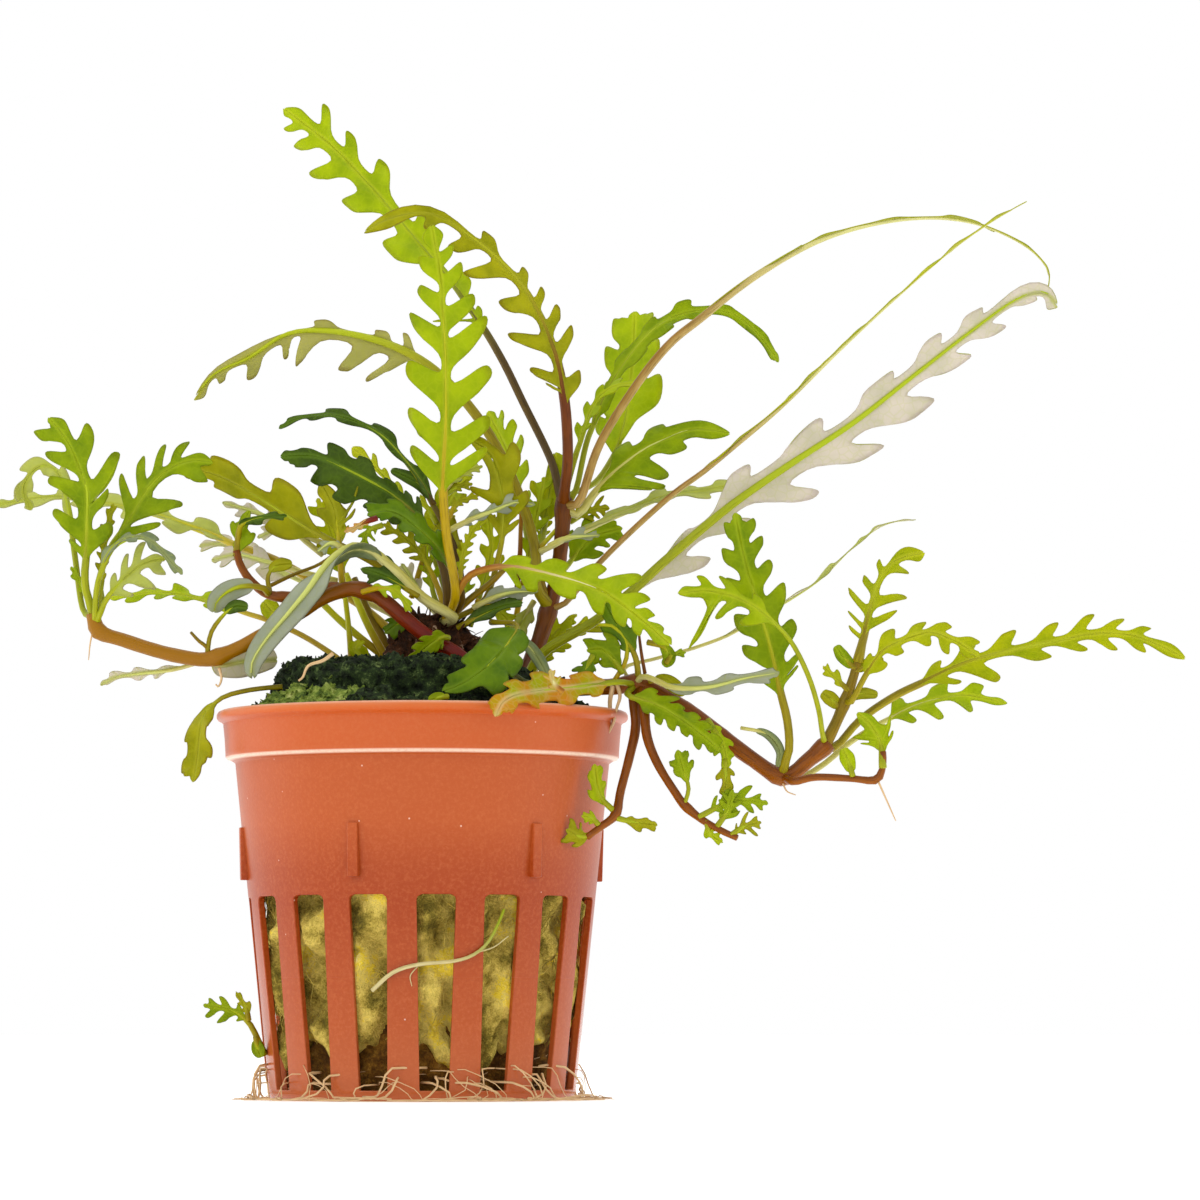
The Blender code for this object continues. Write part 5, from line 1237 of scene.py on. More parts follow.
CROWN_LEAFLETS = (
    Stem("crown_stalk", Skin.OLIVE, (1.1, 0.8), (-2.8, -3.6), (4.2, 67.6, 6.8, 70, 9.4, 72, 11.4, 74),
         foot=CROWN),
    Leaf("strap_lower_blade", Tissue.DARK, 3.4, 0.05, (-10, 0), (-6.6, -7.6), (-0.6, 70.2, -3.4, 72,
         -6, 73.4, -8.8, 74.2), (-4.6, 75.8, -7.6, 72), cut=0.4),
    Leaf("dead_leaf_tip", Tissue.DYING, 1.4, 0.1, (20, 40), (-13, -13.4), (-6.4, 81.2, -8, 80.6, -9.4, 79.8,
         -11, 79.2), 3, rib=Skin.RED),
    Leaf("green_droop_leaf", Tissue.VIVID, 2.8, 0.1, (10, 10), (-5, -5.4), (-5.6, 80.2, -7.7, 79.3,
         -8.4, 77), 3),
    Leaf("pale_fold_leaf", Tissue.GREY, 2, 0.1, (160, 160), (-7, -7.4), (-11, 76.8, -12.8, 77.6,
         -14.8, 76.4), 2),
    Leaf("inner_olive_leaf", Tissue.OLIVE, 3.4, 0.2, (10, 10), (1, 3), (2.4, 70.6, 0.6, 74.6, -1.6, 77.6,
         -5.6, 80.4), 5, CROWN, rib=Skin.GOLD),
    Leaf("inner_broad_leaf", Tissue.OLIVE, 4.6, 0.12, (10, 20), (2, 5), (4, 70.6, 4.2, 75, 3.4, 79,
         1.4, 82.8), 3, CROWN, rib=Skin.GOLD, cut=0.35),
    Leaf("inner_bright_leaf", Tissue.BRIGHT, 3.6, 0.2, (10, 10), (3, 4.4), (1.8, 69.6, 1, 72.6, 0.6, 75.4,
         -0.6, 77.4), 3, CROWN),
    Leaf("inner_pale_leaf", Tissue.PALE, 3, 0.2, (160, 160), (5, 6.4), (0.4, 69.4, -1.4, 72.4, -3, 74.8), 2,
         CROWN),
    Leaf("inner_fern_leaf", Tissue.YELLOW, 2.2, 0.1, (0, 0), (-2, -1.6), (5, 71.6, 5.6, 76, 7, 79.4,
         9, 81.2), 7, CROWN, rib=Skin.GOLD),
    Leaf("pale_side_leaf", Tissue.GREY, 2.6, 0.1, (150, 160), (-5, -6.4), (3.4, 79.2, 6.5, 81, 10, 82.3,
         13, 83.4, 15.8, 83), 4),
    Leaf("fine_leaf_high", Tissue.PALE, 2, 0.1, (20, 20), (3, 4), (2.8, 84.8, 4.8, 87, 8.4, 88.5), 3),
    Leaf("fine_leaf_middle", Tissue.OLIVE, 2.2, 0.1, (20, 20), (3.2, 3.6), (2.8, 84.2, 4.8, 85.5, 7, 86), 2,
         rib=Skin.GREEN_RIB),
    Leaf("fine_leaf_low", Tissue.OLIVE, 2, 0.1, (20, 20), (2.4, 3), (3.4, 80.8, 4.8, 83.2, 7.8, 84.4), 4,
         rib=Skin.GOLD),
    Leaf("fine_leaf_left", Tissue.YELLOW, 2, 0.1, (20, 20), (3.4, 4), (2, 80.4, 0.6, 82.6, -0.4, 84.4), 2),
    Leaf("crown_low_leaf", Tissue.VIVID, 2, 0.1, (0, 0), (-4.2, -4.6), (4.8, 69.8, 6.1, 71.4, 6.3, 73.2),
         2),
    Leaf("crown_dark_strap", Tissue.DARK, 2.4, 0.1, (10, 10), (-3.4, -4.4), (4.8, 65.8, 8, 67.5, 11, 68.8,
         14, 69.4), 2, cut=0.3),
    Leaf("crown_grey_strap", Tissue.GREY, 2.4, 0.1, (150, 150), (-4, -5), (7, 68.6, 10, 70.2, 13, 70.9,
         16.2, 70.9), 2, cut=0.4),
    Leaf("crown_gold_leaf", Tissue.YELLOW, 3.4, 0.1, (0, 0), (2.4, 3), (7.4, 69.6, 10, 68.6, 12.6, 66.2), 3,
         rib=Skin.GOLD, cut=0.4),
    Leaf("crown_thin_side", Tissue.DARK, 1.8, 0.1, (-20, -20), (3, 4), (1.6, 83, -0.6, 86, -4.6, 88),
         rib=Skin.PURPLE_RIB),
    Leaf("rim_small_leaf", Tissue.VIVID, 1.6, 0.1, (0, 0), (-24.4, -25), (3.6, 56.2, 2.2, 56, 0.8, 55.6)),
    Leaf("grey_arc_leaf", Tissue.GREY, 1.8, 0.1, (20, 20), (-14, -16), (11.8, 65, 14.6, 63.4, 16.4, 61,
         17.9, 58.2)),
    Leaf("grey_low_leaf", Tissue.GREY, 2, 0.1, (20, 20), (-16, -17), (18, 57, 14.8, 57.8, 12, 59.6), 2,
         cut=0.3),
    Leaf("rim_dead_leaf", Tissue.DYING, 2.2, 0.1, (0, 0), (-24, -24.6), (19.6, 56.8, 18.4, 58, 17.8, 60), 2,
         rib=Skin.ORANGE_RIB),
)

STEM_LEAFLETS = (
    Stem("side_twig", Skin.OLIVE, (1.5, 1.1), (1.4, 1), (17.3, 69.4, 16.5, 72, 16.1, 74.4, 15.6, 77),
         (0.9,), foot=STEM_NODE),
    Stem("side_twig_up", Skin.GOLD, (0.8, 0.6), (1.4, 3), (15.8, 76.4, 17.3, 78, 18.9, 79.8)),
    Stem("thin_twig", Skin.RED, (0.8, 0.5), (4, 5), (13.2, 71.5, 13.6, 76, 13.7, 80, 13.9, 84.4)),
    Leaf("stem_gold_leaf", Tissue.YELLOW, 4.6, 0.1, (0, 0), (7, 9), (17, 79.6, 17.4, 83, 18, 86.5,
         18.5, 90.6), (14.9, 85.9, 15.2, 82), (16.4, 76.4, 2), cut=0.35, fat=0.8),
    Leaf("stem_veined_leaf", Tissue.VIVID, 6, 0.1, (0, 0), (8, 11), (20.3, 74.6, 22.2, 77, 24.4, 78.8,
         28, 79.8), 3, (18.4, 72.4, 2.2), cut=0.35),
    Leaf("stem_olive_leaf", Tissue.OLIVE, 3.8, 0.1, (0, 0), (9, 10), (20.6, 80.6, 23.4, 82.2, 26.2, 82.6),
         3, rib=Skin.GREEN_RIB),
    Leaf("stem_lobed_leaf", Tissue.YELLOW, 3.4, 0.1, (0, 0), (8, 9), (16, 77.6, 16.9, 80, 17.2, 82.4), 3),
    Leaf("pale_spur_leaf", Tissue.GREY, 2.2, 0.2, (160, 160), (-0.6, -0.4), (17.6, 77.2, 20.2, 78.4,
         24.8, 78.8), 2),
    Leaf("foot_gold_leaf", Tissue.YELLOW, 2.8, 0.1, (0, 0), (5, 6), (15.8, 61.4, 18.2, 64.8, 21.6, 67.8), 2,
         STEM_FOOT),
    Leaf("foot_gold_leaf_low", Tissue.YELLOW, 2.6, 0.1, (0, 0), (5, 6), (15.8, 60, 17.8, 62.4, 20.4, 63.4),
         2, STEM_FOOT),
    Leaf("foot_pale_leaf", Tissue.PALE, 3, 0.1, (0, 0), (3.4, 4), (15.6, 69.6, 14, 67, 12.6, 64.2), 2,
         cut=0.3),
    Leaf("foot_olive_leaf", Tissue.OLIVE, 1.4, 0.1, (0, 0), (1.4, 1), (20.2, 65.2, 23, 65.9, 25.6, 65.5),
         rib=Skin.GREEN_RIB),
)

RIGHT_LEAFLETS = (
    Stem("pale_arc", Skin.GOLD, (0.7, 0.5), (-8, -9), (26.8, 58.4, 28.4, 61.2, 28.4, 64, 26.6, 66,
         24.6, 66.2)),
    Stem("dark_hook", Skin.DARK, (0.55, 0.35), (-7.4, -8.6), (31.1, 59.4, 30.6, 62.2, 30.2, 65.4)),
    Leaf("runner_round_leaf", Tissue.VIVID, 4.6, 0.1, (10, 10), (-8.4, -9), (28, 59.4, 26.6, 61.4, 25, 62.8,
         22.9, 62.6), 2, cut=0.3),
    Leaf("runner_serrate_leaf", Tissue.DEEP, 3.2, 0.1, (10, 10), (-9, -9.4), (23.8, 62, 22.8, 60,
         21.8, 58.2), 3, rib=Skin.GREEN_RIB, cut=0.3),
    Leaf("runner_small_leaf", Tissue.VIVID, 1.8, 0.3, (0, 0), (-8, -8), (31.4, 63.8, 33.6, 63.2, 34.5, 61.6,
         33.6, 60.4), rib=Skin.OLIVE_RIB),
    Leaf("runner_tip_leaf", Tissue.VIVID, 1.8, 0.1, (0, 0), (-8, -8), (34, 60.8, 35, 62, 36.8, 62.4), 2,
         rib=Skin.OLIVE_RIB),
    Leaf("runner_olive_leaf", Tissue.OLIVE, 2, 0.1, (0, 0), (-8.6, -9.4), (31.6, 58.4, 34, 58.4,
         36.8, 56.4)),
    Leaf("shoot_bract_a", Tissue.OLIVE, 2, 0.05, (0, 0), (-9.6, -9.2), (58.6, 54.4, 57.2, 55.8,
         55.8, 56.8)),
    Leaf("shoot_bract_b", Tissue.YELLOW, 2.2, 0.05, (0, 0), (-9.6, -9.2), (59.6, 57, 57.8, 58.8, 56, 60.4),
         2, rib=Skin.OLIVE_RIB),
    Leaf("shoot_bract_c", Tissue.VIVID, 1.8, 0.05, (0, 0), (-9.2, -8.8), (60.6, 60, 58.8, 61.8, 57.8, 63.4),
         rib=Skin.OLIVE_RIB),
    Leaf("shoot_bract_d", Tissue.OLIVE, 1.6, 0.05, (0, 0), (-9.6, -9.2), (59.2, 55.8, 61.4, 56.6,
         63.8, 56.4)),
    Leaf("shoot_bract_e", Tissue.OLIVE, 1.6, 0.05, (0, 0), (-9.2, -8.8), (60.4, 59.6, 62.4, 60.8,
         64.6, 61.4)),
    Leaf("side_stem_small", Tissue.BRIGHT, 2, 0.1, (0, 0), (-12.8, -12.8), (60.2, 45, 59.6, 47, 58.8, 49)),
    Leaf("low_leaf_bright", Tissue.BRIGHT, 3.4, 0.1, (10, 10), (-12, -12.6), (39.8, 53, 41.8, 50,
         42.8, 46.2), 3, cut=0.4),
    Leaf("low_leaf_olive", Tissue.OLIVE, 3, 0.1, (10, 10), (-12.4, -12.8), (42.2, 47.4, 42.4, 45, 42.4, 42),
         2, rib=Skin.GREEN_RIB, cut=0.4),
    Leaf("low_leaf_arc", Tissue.GREY, 1.4, 0.2, (20, 20), (-10.6, -10), (44.5, 51.8, 48, 51, 50, 48.6,
         49.6, 46.2), girth=0.26),
    Leaf("trailing_leaf_a4", Tissue.BRIGHT, 2.4, 0.1, (0, 0), (-14.8, -15), (24.6, 38.2, 23.6, 39.2,
         22.2, 39.4), 2, cut=0.4),
    Leaf("trailing_leaf_b4", Tissue.VIVID, 3, 0.1, (0, 0), (-14.4, -14.6), (41.2, 38, 42.8, 40.4,
         43.4, 43.2), 3, cut=0.7),
    Leaf("trailing_leaf_b5", Tissue.BRIGHT, 2.6, 0.1, (0, 0), (-14, -14.2), (39.6, 38.8, 40.4, 36.8,
         42, 35.8), 2, cut=0.6),
)

SLOT_LEAFLETS = (
    Leaf("slot_plantlet_high", Tissue.OLIVE, 1.8, 0.1, (0, 0), (-6.8, -7), (-24.4, 10.8, -24.8, 12.6,
         -26.2, 14.8), 2),
    Leaf("slot_plantlet_low", Tissue.VIVID, 1.8, 0.1, (0, 0), (-6.6, -6.6), (-23.4, 8.6, -23.2, 7.2,
         -22.6, 5.6), rib=Skin.OLIVE_RIB),
)


@dataclass(frozen=True)
class Cluster:
    """Small branches and leaves that make one piece, by where they grow."""

    name: str
    slot: str
    parts: tuple[Stem | Leaf, ...]

    def build(self) -> None:
        """Build them as one piece."""
        shape, palette = new_shape(), Palette()
        for part in self.parts:
            if isinstance(part, Stem):
                part.add_to(shape, palette)
        leaves = [part for part in self.parts if isinstance(part, Leaf)]
        for leaf, blade in zip(leaves, thickened([leaf.sheet() for leaf in leaves])):
            leaf.add_to(shape, palette, blade)
        keep_piece(self.name, shape, palette.finishes)


@dataclass(frozen=True)
class Foliage:
    """All branches and leaves of the plant."""

    stems: tuple[Stem, ...] = STEMS
    leaves: tuple[Leaf, ...] = LEAVES
    clusters: tuple[Cluster, ...] = (
        Cluster("left_leaflets", "leaf_vivid", LEFT_LEAFLETS),
        Cluster("back_leaflets", "leaf_pale", BACK_LEAFLETS),
        Cluster("crown_leaflets", "leaf_olive", CROWN_LEAFLETS),
        Cluster("stem_leaflets", "leaf_bright", STEM_LEAFLETS),
        Cluster("right_leaflets", "leaf_vivid", RIGHT_LEAFLETS),
        Cluster("slot_leaflets", "leaf_vivid", SLOT_LEAFLETS))

    def build(self) -> None:
        """Build the branches, the leaves, and the small leaflets in clusters."""
        for stem in self.stems:
            stem.build()
        blades = thickened([leaf.sheet() for leaf in self.leaves])
        for leaf, blade in zip(self.leaves, blades):
            leaf.build(blade)
        for cluster in self.clusters:
            cluster.build()


@dataclass(frozen=True)
class NetPot:
    """Moulded net pot: rim bead, collar, slotted wall, stacking wedges and slotted floor."""

    rim_top: float = 54.0
    rim_radius: float = 28.7
    collar_radius: float = 27.8
    collar_foot_radius: float = 27.45
    collar_foot: float = 47.4
    wall_top_radius: float = 26.15
    foot_radius: float = 21.3
    thickness: float = 0.95
    floor: float = 1.2
    slots: int = 16
    slot_turn: float = 6.5
    slot_top: float = 28.0
    slot_foot: float = 1.5
    slot_widths: tuple[float, float] = (4.0, 5.4)
    slot_corner: float = 0.8
    floor_slot: tuple[float, float, float] = (9.0, 17.0, 3.2)
    floor_reach: float = 17.5
    columns_per_slot: int = 8
    lugs: int = 6
    lug_turn: float = -20.0
    lug_foot: float = 30.4
    lug_top: float = 37.7
    lug_width: float = 1.5
    lug_depth: float = 1.0

    def wall_radius(self, height: float) -> float:
        """Outer radius of the wall below the collar."""
        share = height / self.collar_foot
        return self.foot_radius + (self.wall_top_radius - self.foot_radius) * share

    def profile(self) -> list[tuple[float, float]]:
        """List radius and height round the section: under the floor, up outside, down inside."""
        opening = self.floor_slot
        top = self.slot_top
        rows = [self.slot_foot, 3, 6, 10, 14, 18, 22, 25, top - 0.8, top - 0.4, top - 0.12, top]
        outer = [(0.0, 0.0), (opening[0], 0.0), (opening[1], 0.0), (self.foot_radius - 1.0, 0.0),
                 (self.foot_radius - 0.5, 0.12), (self.foot_radius - 0.16, 0.45),
                 (self.wall_radius(0.95), 0.95)]
        outer += [(self.wall_radius(z), z) for z in (*rows, 29, 33, 38, 43, 46.2, 46.75)]
        foot = self.collar_foot_radius
        outer += [(foot - 0.75, 47.15), (foot - 0.25, 47.28), (foot, 47.6), (foot + 0.02, 48.2),
                  (27.6, 50.2), (self.collar_radius, 52.2), (28.1, 52.5), (28.5, 52.68),
                  (self.rim_radius, 53.0), (self.rim_radius, 53.45), (28.5, 53.8), (28.1, 53.98),
                  (27.6, self.rim_top), (27.1, 53.85), (26.85, 53.45), (26.7, 51.0)]
        inside = self.thickness
        outer += [(foot - inside, 48.4), (foot - inside - 0.35, 47.9),
                  (self.wall_radius(47.4) - inside, 47.3)]
        outer += [(self.wall_radius(z) - inside, z) for z in (43, 38, 33, 29, *reversed(rows))]
        outer += [(self.foot_radius - inside - 0.3, self.floor), (opening[1], self.floor),
                  (opening[0], self.floor), (0.0, self.floor)]
        return outer

    def half_slot(self, radius: float, height: float, even: bool) -> float:
        """Half the angle that a slot's edges stand apart at a place of the section.

        Args:
            radius: Radius of the place.
            height: Its height.
            even: True where the floor has an opening below the slot.

        Returns:
            The angle in radians.
        """
        if radius < 0.1:
            return math.radians(5)
        if radius < self.floor_reach:
            width = self.floor_slot[2] if even else 3.6
            return min(width / 2 / radius, math.radians(9.6))
        share = min(max((height - self.slot_foot) / (self.slot_top - self.slot_foot), 0.0), 1.0)
        width = self.slot_widths[0] + (self.slot_widths[1] - self.slot_widths[0]) * share
        inset = 0.0
        drop = self.slot_top - height
        if -0.01 <= drop < self.slot_corner:
            corner = self.slot_corner
            inset = corner - math.sqrt(max(corner ** 2 - (corner - drop) ** 2, 0.0))
        return (width / 2 - inset) / radius

    def build(self) -> Object:
        """Build the pot by turning its section, opening the slots and joining their edges."""
        profile = self.profile()
        per_slot = self.columns_per_slot
        columns = self.slots * per_slot
        shape = new_shape()
        rows = len(profile) - 1
        bmesh.ops.create_grid(shape, x_segments=columns, y_segments=rows, size=1.0)
        period = math.tau / self.slots
        for vertex in shape.verts:
            column = round((vertex.co.x + 1) / 2 * columns)
            radius, height = profile[round((vertex.co.y + 1) / 2 * rows)]
            slot, part = divmod(column, per_slot)
            half = self.half_slot(radius, height, slot % 2 == 0)
            rib = period - 2 * half
            turn = (-half + 2 * half * part / 4 if part <= 4 else half + rib * (part - 4) / 4)
            turn += math.radians(self.slot_turn) + slot * period
            vertex.co = around(turn, radius, height) * MM
        bmesh.ops.remove_doubles(shape, verts=shape.verts, dist=2e-6)
        self.open_slots(shape)
        bmesh.ops.recalc_face_normals(shape, faces=shape.faces)
        self.add_lugs(shape)
        for face in shape.faces:
            face.smooth = True
        piece = keep_piece("net_pot", shape, [MouldedPlastic().material()], ("pot",))
        piece.data.set_sharp_from_angle(angle=math.radians(38))
        bevel = piece.modifiers.new("worn_edges", "BEVEL")
        bevel.width = 0.16 * MM
        bevel.segments = 2
        bevel.limit_method = "ANGLE"
        bevel.angle_limit = math.radians(50)
        return piece

    def slot_of(self, point: Vector) -> int:
        """Number of the slot whose part of the circle a point lies in."""
        turn = math.degrees(turn_of(point)) - self.slot_turn
        return round(turn / (360 / self.slots)) % self.slots

    def in_slot(self, point: Vector) -> bool:
        """Tell whether a face's centre lies in an opening of the wall or floor."""
        radius = math.hypot(point.x, point.y)
        slot = self.slot_of(point)
        turn = turn_of(point) - math.radians(self.slot_turn + slot * 360 / self.slots)
        turn = (turn + math.pi) % math.tau - math.pi
        if radius > self.floor_reach:
            reached = self.slot_foot < point.z < self.slot_top
        else:
            reached = radius > self.floor_slot[0] and slot % 2 == 0
        return reached and abs(turn) < self.half_slot(radius, min(point.z, 27.0), slot % 2 == 0)

    def open_slots(self, shape: BMesh) -> None:
        """Take the slots' faces out of both skins and join the skins round each opening."""
        lost = [face for face in shape.faces
                if self.in_slot(face.calc_center_median_weighted() / MM)]
        bmesh.ops.delete(shape, geom=lost, context="FACES")
        groups: dict[tuple[bool, int], list] = {}
        for edge in shape.edges:
            if edge.is_boundary:
                middle = (edge.verts[0].co + edge.verts[1].co) / 2 / MM
                wall = math.hypot(middle.x, middle.y) > self.floor_reach
                groups.setdefault((wall, self.slot_of(middle)), []).append(edge)
        for edges in groups.values():
            bmesh.ops.bridge_loops(shape, edges=edges)
        LOG.info("net pot: %d openings", len(groups))

    def add_lugs(self, shape: BMesh) -> None:
        """Add the wedges that keep stacked pots apart."""
        for index in range(self.lugs):
            made = bmesh.ops.create_cube(shape, size=2.0)["verts"]
            for vertex in made:
                height = self.lug_top if vertex.co.z > 0 else self.lug_foot
                out = 0.45 if vertex.co.z > 0 else self.lug_depth
                radius = self.wall_radius(height) + (out if vertex.co.y < 0 else -0.4)
                vertex.co = Vector((vertex.co.x * self.lug_width / 2, -radius, height))
            turn = Matrix.Rotation(math.radians(self.lug_turn + index * 360 / self.lugs), 4, "Z")
            bmesh.ops.transform(shape, matrix=Matrix.Scale(MM, 4) @ turn, verts=made)


@dataclass(frozen=True)
class Filling:
    """Rock wool plug, moss and woody crown."""

    pot: NetPot
    gap: float = 0.4
    wool_top: float = 49.6
    fibres: int = 2400
    fibres_per_batch: int = 60
    moss_top: float = 60.4
    moss_radius: float = 20.3
    moss_leaves: int = 5200
    tier: float = 53.6
    crown: Place = (1.4, 0.4, 63.2)
    crown_size: Place = (12.4, 9.0, 10.6)
    stumps: int = 150

    def turned(self, profile: list[tuple[float, float]], columns: int,
               steps: int = 46) -> BMesh:
        """Turn a section about the pot's axis.

        Args:
            profile: Radius and height from the axis above to the axis below.
            columns: Faces around.
            steps: Faces along the section.

        Returns:
            Closed mesh with smooth faces.
        """
        shape = new_shape()
        route = Route([Vector((radius, 0, height)) for radius, height in profile], steps)
        spots = [shape.verts.new((max(p.x, 0.0) * MM, 0, p.z * MM)) for p in route.points]
        edges = [shape.edges.new(pair) for pair in zip(spots, spots[1:])]
        bmesh.ops.spin(shape, geom=spots + edges, angle=math.tau, steps=columns, use_merge=True,
                       axis=(0, 0, 1), cent=(0, 0, 0))
        bmesh.ops.remove_doubles(shape, verts=shape.verts, dist=1e-5)
        bmesh.ops.recalc_face_normals(shape, faces=shape.faces)
        for face in shape.faces:
            face.smooth = True
        return shape

    def build_wool(self) -> None:
        """Build the plug of rock wool with clumps, a ragged foot and loose fibres."""
        def inner(height: float) -> float:
            """Radius that the plug fills at a height."""
            return self.pot.wall_radius(height) - self.pot.thickness - self.gap

        profile = [(0.0, self.wool_top), (inner(48) - 2, self.wool_top), (inner(44), 46.0),
                   (inner(32), 32.0), (inner(20), 20.0), (inner(11) - 0.4, 11.0),
                   (inner(8) - 2.4, 7.6), (0.0, 8.6)]
        shape = self.turned(profile, 260, 90)
        for vertex in shape.verts:
            point = vertex.co / MM
            flat = Vector((point.x, point.y, 0))
            lump = noise.noise(point / 5.0) * 4.6 + noise.noise(point / 2.2) * 1.4
            lump += noise.noise(point / 0.9) * 0.5 + noise.noise(point / 0.45) * 0.3
            if flat.length > 6:
                vertex.co -= flat.normalized() * max(0.9 + lump, -0.5) * MM
            if point.z < 18:
                turn = math.atan2(point.x, point.y)
                sag = noise.noise(Vector((turn * 2.6, 0.4, 2.0)))
                sag += 0.5 * noise.noise(Vector((turn * 8, 3.0, 1.0)))
                vertex.co.z += (sag * 6.4 - 0.6) * smooth(19, 9, point.z) * MM
        dice = Random(11)
        tuft = new_shape()
        for index in range(self.fibres):
            turn = dice.uniform(0, math.tau)
            height = dice.uniform(8.5, 29.0)
            radius = inner(height) - dice.uniform(0.0, 1.6)
            place = around(turn, radius, height)
            out = Vector((place.x, place.y, 0)).normalized()
            side = Vector((0, 0, 1)).cross(out)
            heading = dice.uniform(-0.6, math.pi)
            way = side * math.cos(heading) + Vector((0, 0, 1)) * math.sin(heading)
            bend = side * dice.uniform(-1, 1) + Vector((0, 0, dice.uniform(-1, 1)))
            length = dice.uniform(0.8, 3.2)
            points = []
            for step in range(5):
                t = step / 4 - 0.5
                point = place + way * t * length + bend * t * t * length * 0.5
                limit = inner(point.z) - 0.05
                flat = math.hypot(point.x, point.y)
                if flat > limit:
                    point.x *= limit / flat
                    point.y *= limit / flat
                points.append(point)
            add_tube(tuft, points, [dice.uniform(0.03, 0.07)] * 5, 3)
            if (index + 1) % self.fibres_per_batch == 0:
                pour(shape, to_mesh(tuft, "tuft"))
                tuft = new_shape()
        tuft.free()
        keep_piece("rock_wool_plug", shape, [WOOL_FIBRE.material()], ("rock_wool",))

    def build_moss(self) -> None:
        """Build the moss cushion that grew over the plug, with its small leaves."""
        profile = [(0.0, self.moss_top), (10.0, self.moss_top), (18.4, self.moss_top - 0.3),
                   (self.moss_radius, self.moss_top - 2.2), (20.4, 56.6), (21.2, self.tier + 1.2),
                   (23.6, self.tier + 0.4), (25.4, self.tier - 0.9), (25.2, 52.0),
                   (12.0, 51.7), (0.0, 51.7)]
        shape = self.turned(profile, 160)
        for vertex in shape.verts:
            point = vertex.co / MM
            radius = math.hypot(point.x, point.y)
            turn = math.degrees(turn_of(point))
            if radius > self.moss_radius + 1 and point.z > self.tier - 2 and -64 < turn < -8:
                vertex.co.z += 1.8 * MM
            if radius < self.moss_radius + 0.5 and point.z > self.tier and point.x > 6:
                vertex.co.z -= min((point.x - 6) * 0.2, 1.8) * MM
            if point.z > 52.2:
                lump = noise.noise(point / 3.0) * 1.7 + noise.noise(point / 1.2) * 1.0
                lump += noise.noise(point / 0.6) * 0.4
                if radius > 24:
                    lump = -abs(lump) * 0.4
                vertex.co += vertex.normal * lump * MM
        shape.normal_update()
        dice = Random(23)
        # Sorted, because the order of a turned section's faces changes from run to run
        faces = sorted((face for face in shape.faces if face.calc_center_median().z > 52.6 * MM),
                       key=lambda face: tuple(face.calc_center_median()))
        weights = [face.calc_area() for face in faces]
        picks = dice.choices(faces, weights, k=self.moss_leaves)
        spots = [(face.calc_center_median(), face.normal.copy()) for face in picks]
        leaf = new_shape()
        bmesh.ops.create_cone(leaf, segments=5, radius1=0.26 * MM, radius2=0.08 * MM,
                              depth=0.62 * MM, cap_ends=True)
        bmesh.ops.translate(leaf, verts=leaf.verts, vec=(0, 0, 0.2 * MM))
        bmesh.ops.scale(leaf, verts=leaf.verts, vec=(1.5, 0.6, 1.0))
        small = to_mesh(leaf, "moss_leaf")
        for point, normal in spots:
            lean = Vector(dice.uniform(-1, 1) for _ in range(3)) * 1.3
            turn = (normal + lean).to_track_quat("Z", "Y").to_matrix().to_4x4()
            spin = Matrix.Rotation(dice.uniform(0, math.tau), 4, "Z")
            size = Matrix.Scale(dice.uniform(0.6, 1.25), 4)
            add_mesh(shape, small, Matrix.Translation(point) @ turn @ spin @ size)
        bpy.data.meshes.remove(small)
        for face in shape.faces:
            point = face.calc_center_median() / MM
            turn = math.degrees(turn_of(point))
            stray = noise.noise(point / 1.6)
            low = math.hypot(point.x, point.y) > 20.6 and point.z < 57 + stray * 2
            low = low and -66 < turn < -24 + stray * 26
            face.material_index = 1 if low else 0
        keep_piece("moss_cushion", shape, [MOSS_LEAF.material(), MOSS_LOW.material()],
                   ("moss",))

    def build_crown(self) -> None:
        """Build the woody crown with stumps of old stalks and frayed bark."""
        shape = new_shape()
        bmesh.ops.create_icosphere(shape, subdivisions=5, radius=0.5)
        centre = Vector(self.crown)
        for vertex in shape.verts:
            lump = 1 + 0.3 * noise.noise(vertex.co * 5) + 0.12 * noise.noise(vertex.co * 16)
            lump += 0.05 * noise.noise(vertex.co * 40)
            lump *= 1 - 0.5 * vertex.co.z
            spread = Vector(a * b * lump for a, b in zip(vertex.co, self.crown_size))
            vertex.co = (centre + spread) * MM
        for face in shape.faces:
            face.smooth = True
        dice = Random(5)
        for _ in range(self.stumps):
            turn = dice.uniform(0, math.tau)
            tilt = dice.uniform(-0.5, 1.2)
            out = Vector((math.cos(turn) * math.cos(tilt), math.sin(turn) * math.cos(tilt),
                          math.sin(tilt)))
            foot = centre + Vector(a * b * 0.42 for a, b in zip(out, self.crown_size))
            way = (out + Vector(dice.uniform(-0.8, 0.8) for _ in range(3))).normalized()
            length = dice.uniform(0.8, 2.8)
            bend = Vector(dice.uniform(-0.5, 0.5) for _ in range(3))
            points = [foot + way * length * t + bend * t * t for t in (0.0, 0.35, 0.7, 1.0)]
            size = dice.choice((0.09, 0.14, 0.3, 0.5))
            add_tube(shape, points, [size, size * 0.9, size * 0.7, size * 0.4], 5)
        keep_piece("woody_crown", shape, [CROWN_WOOD.material()], ("crown",))


